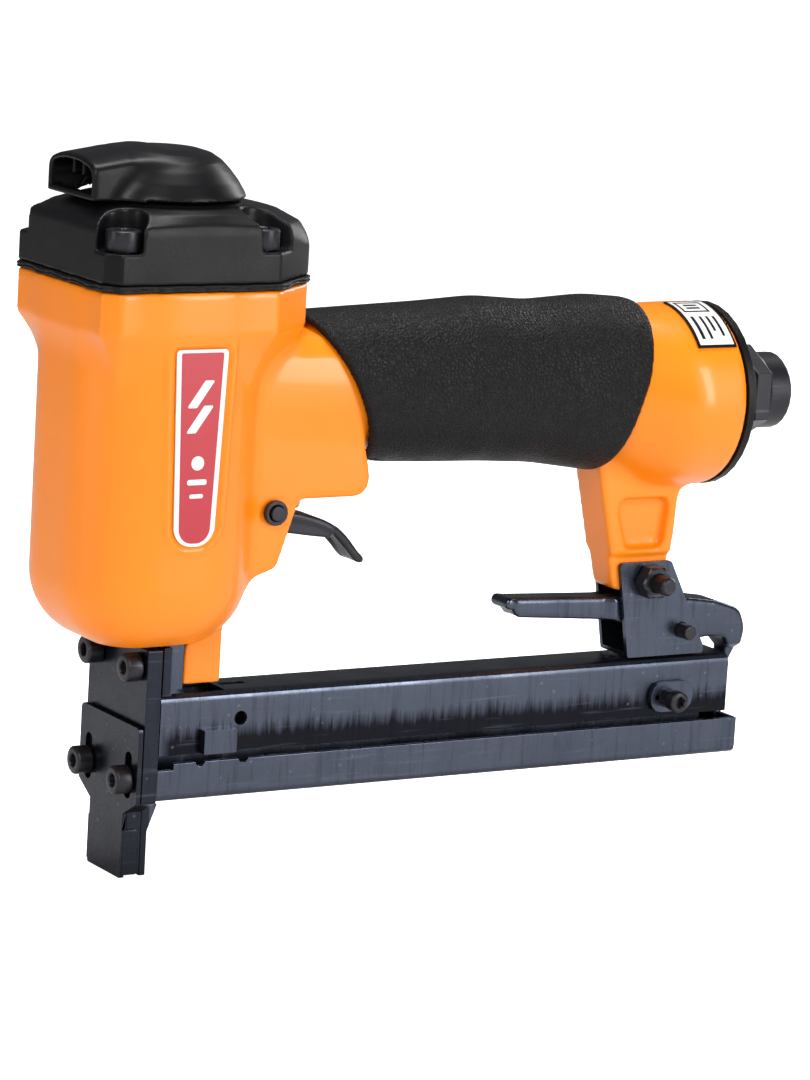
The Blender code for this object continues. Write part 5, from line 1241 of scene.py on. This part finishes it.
camera = placed("camera", bpy.data.cameras.new("camera"))
camera.data.lens = 147.07
camera.data.sensor_width = 36.0
camera.data.clip_end = 20.0
backwards = CAMERA_RIGHT.cross(CAMERA_UP).normalized()
upright = backwards.cross(CAMERA_RIGHT).normalized()
turned = Matrix((CAMERA_RIGHT.normalized(), upright, backwards)).transposed().to_4x4()
camera.matrix_world = Matrix.Translation(CAMERA_PLACE) @ turned
bpy.context.scene.camera = camera


# %% Light and floor
def softbox(name, place, aim, size, power):
    data = bpy.data.lights.new(name, "AREA")
    data.shape = "RECTANGLE"
    data.size, data.size_y = size
    data.energy = power
    lamp = placed(name, data)
    lamp.location = place
    lamp.rotation_mode = "QUATERNION"
    lamp.rotation_quaternion = (Vector(aim) - Vector(place)).to_track_quat("-Z", "Y")


softbox("key", (-0.75, -1.05, 0.85), (0.05, 0.0, 0.08), (0.22, 0.9), 11.0)
softbox("side", (0.62, -1.0, 0.42), (0.09, 0.0, 0.08), (0.25, 0.8), 8.5)
softbox("top", (0.12, 0.05, 1.0), (0.07, 0.0, 0.08), (0.5, 0.35), 7.0)
softbox("front_strip", (-0.95, 0.05, 0.25), (0.0, 0.0, 0.10), (0.2, 0.8), 2.2)
softbox("rear_strip", (0.95, 0.35, 0.45), (0.15, 0.0, 0.10), (0.2, 0.6), 3.0)

world = bpy.data.worlds.new("studio")
bpy.context.scene.world = world
world.use_nodes = True
tree = world.node_tree
tree.nodes.clear()
path = tree.nodes.new("ShaderNodeLightPath")
dim = tree.nodes.new("ShaderNodeBackground")
dim.inputs["Color"].default_value = (0.93, 0.96, 1.0, 1.0)
dim.inputs["Strength"].default_value = 0.13
white = tree.nodes.new("ShaderNodeBackground")
white.inputs["Color"].default_value = (1.0, 1.0, 1.0, 1.0)
mix = tree.nodes.new("ShaderNodeMixShader")
tree.links.new(path.outputs["Is Camera Ray"], mix.inputs[0])
tree.links.new(dim.outputs[0], mix.inputs[1])
tree.links.new(white.outputs[0], mix.inputs[2])
output = tree.nodes.new("ShaderNodeOutputWorld")
tree.links.new(mix.outputs[0], output.inputs["Surface"])

FLOOR_REACH = 4.0
FLOOR_DROP = 0.2 * MM         # below the nose, so that the two never share a face
floor_mesh = bpy.data.meshes.new("floor")
corners = rectangle(-FLOOR_REACH, -FLOOR_REACH, FLOOR_REACH, FLOOR_REACH)
floor_mesh.from_pydata([(x, y, 0.0) for x, y in corners], [], [(0, 1, 2, 3)])
floor = placed("floor", floor_mesh)
floor.location.z = -FLOOR_DROP
floor_paint = bpy.data.materials.new("pale_floor")
floor_paint.use_nodes = True
tree = floor_paint.node_tree
paint = tree.nodes["Principled BSDF"]
paint.inputs["Base Color"].default_value = (0.86, 0.86, 0.86, 1.0)
paint.inputs["Roughness"].default_value = 0.9
paint.inputs["Specular IOR Level"].default_value = 0.0
glow = tree.nodes.new("ShaderNodeEmission")
path = tree.nodes.new("ShaderNodeLightPath")
add = tree.nodes.new("ShaderNodeAddShader")
mix = tree.nodes.new("ShaderNodeMixShader")
tree.links.new(paint.outputs[0], add.inputs[0])
tree.links.new(glow.outputs[0], add.inputs[1])
tree.links.new(path.outputs["Is Camera Ray"], mix.inputs[0])
tree.links.new(paint.outputs[0], mix.inputs[1])
tree.links.new(add.outputs[0], mix.inputs[2])
tree.links.new(mix.outputs[0], tree.nodes["Material Output"].inputs["Surface"])
floor_mesh.materials.append(floor_paint)

bpy.context.scene.view_settings.view_transform = "Standard"
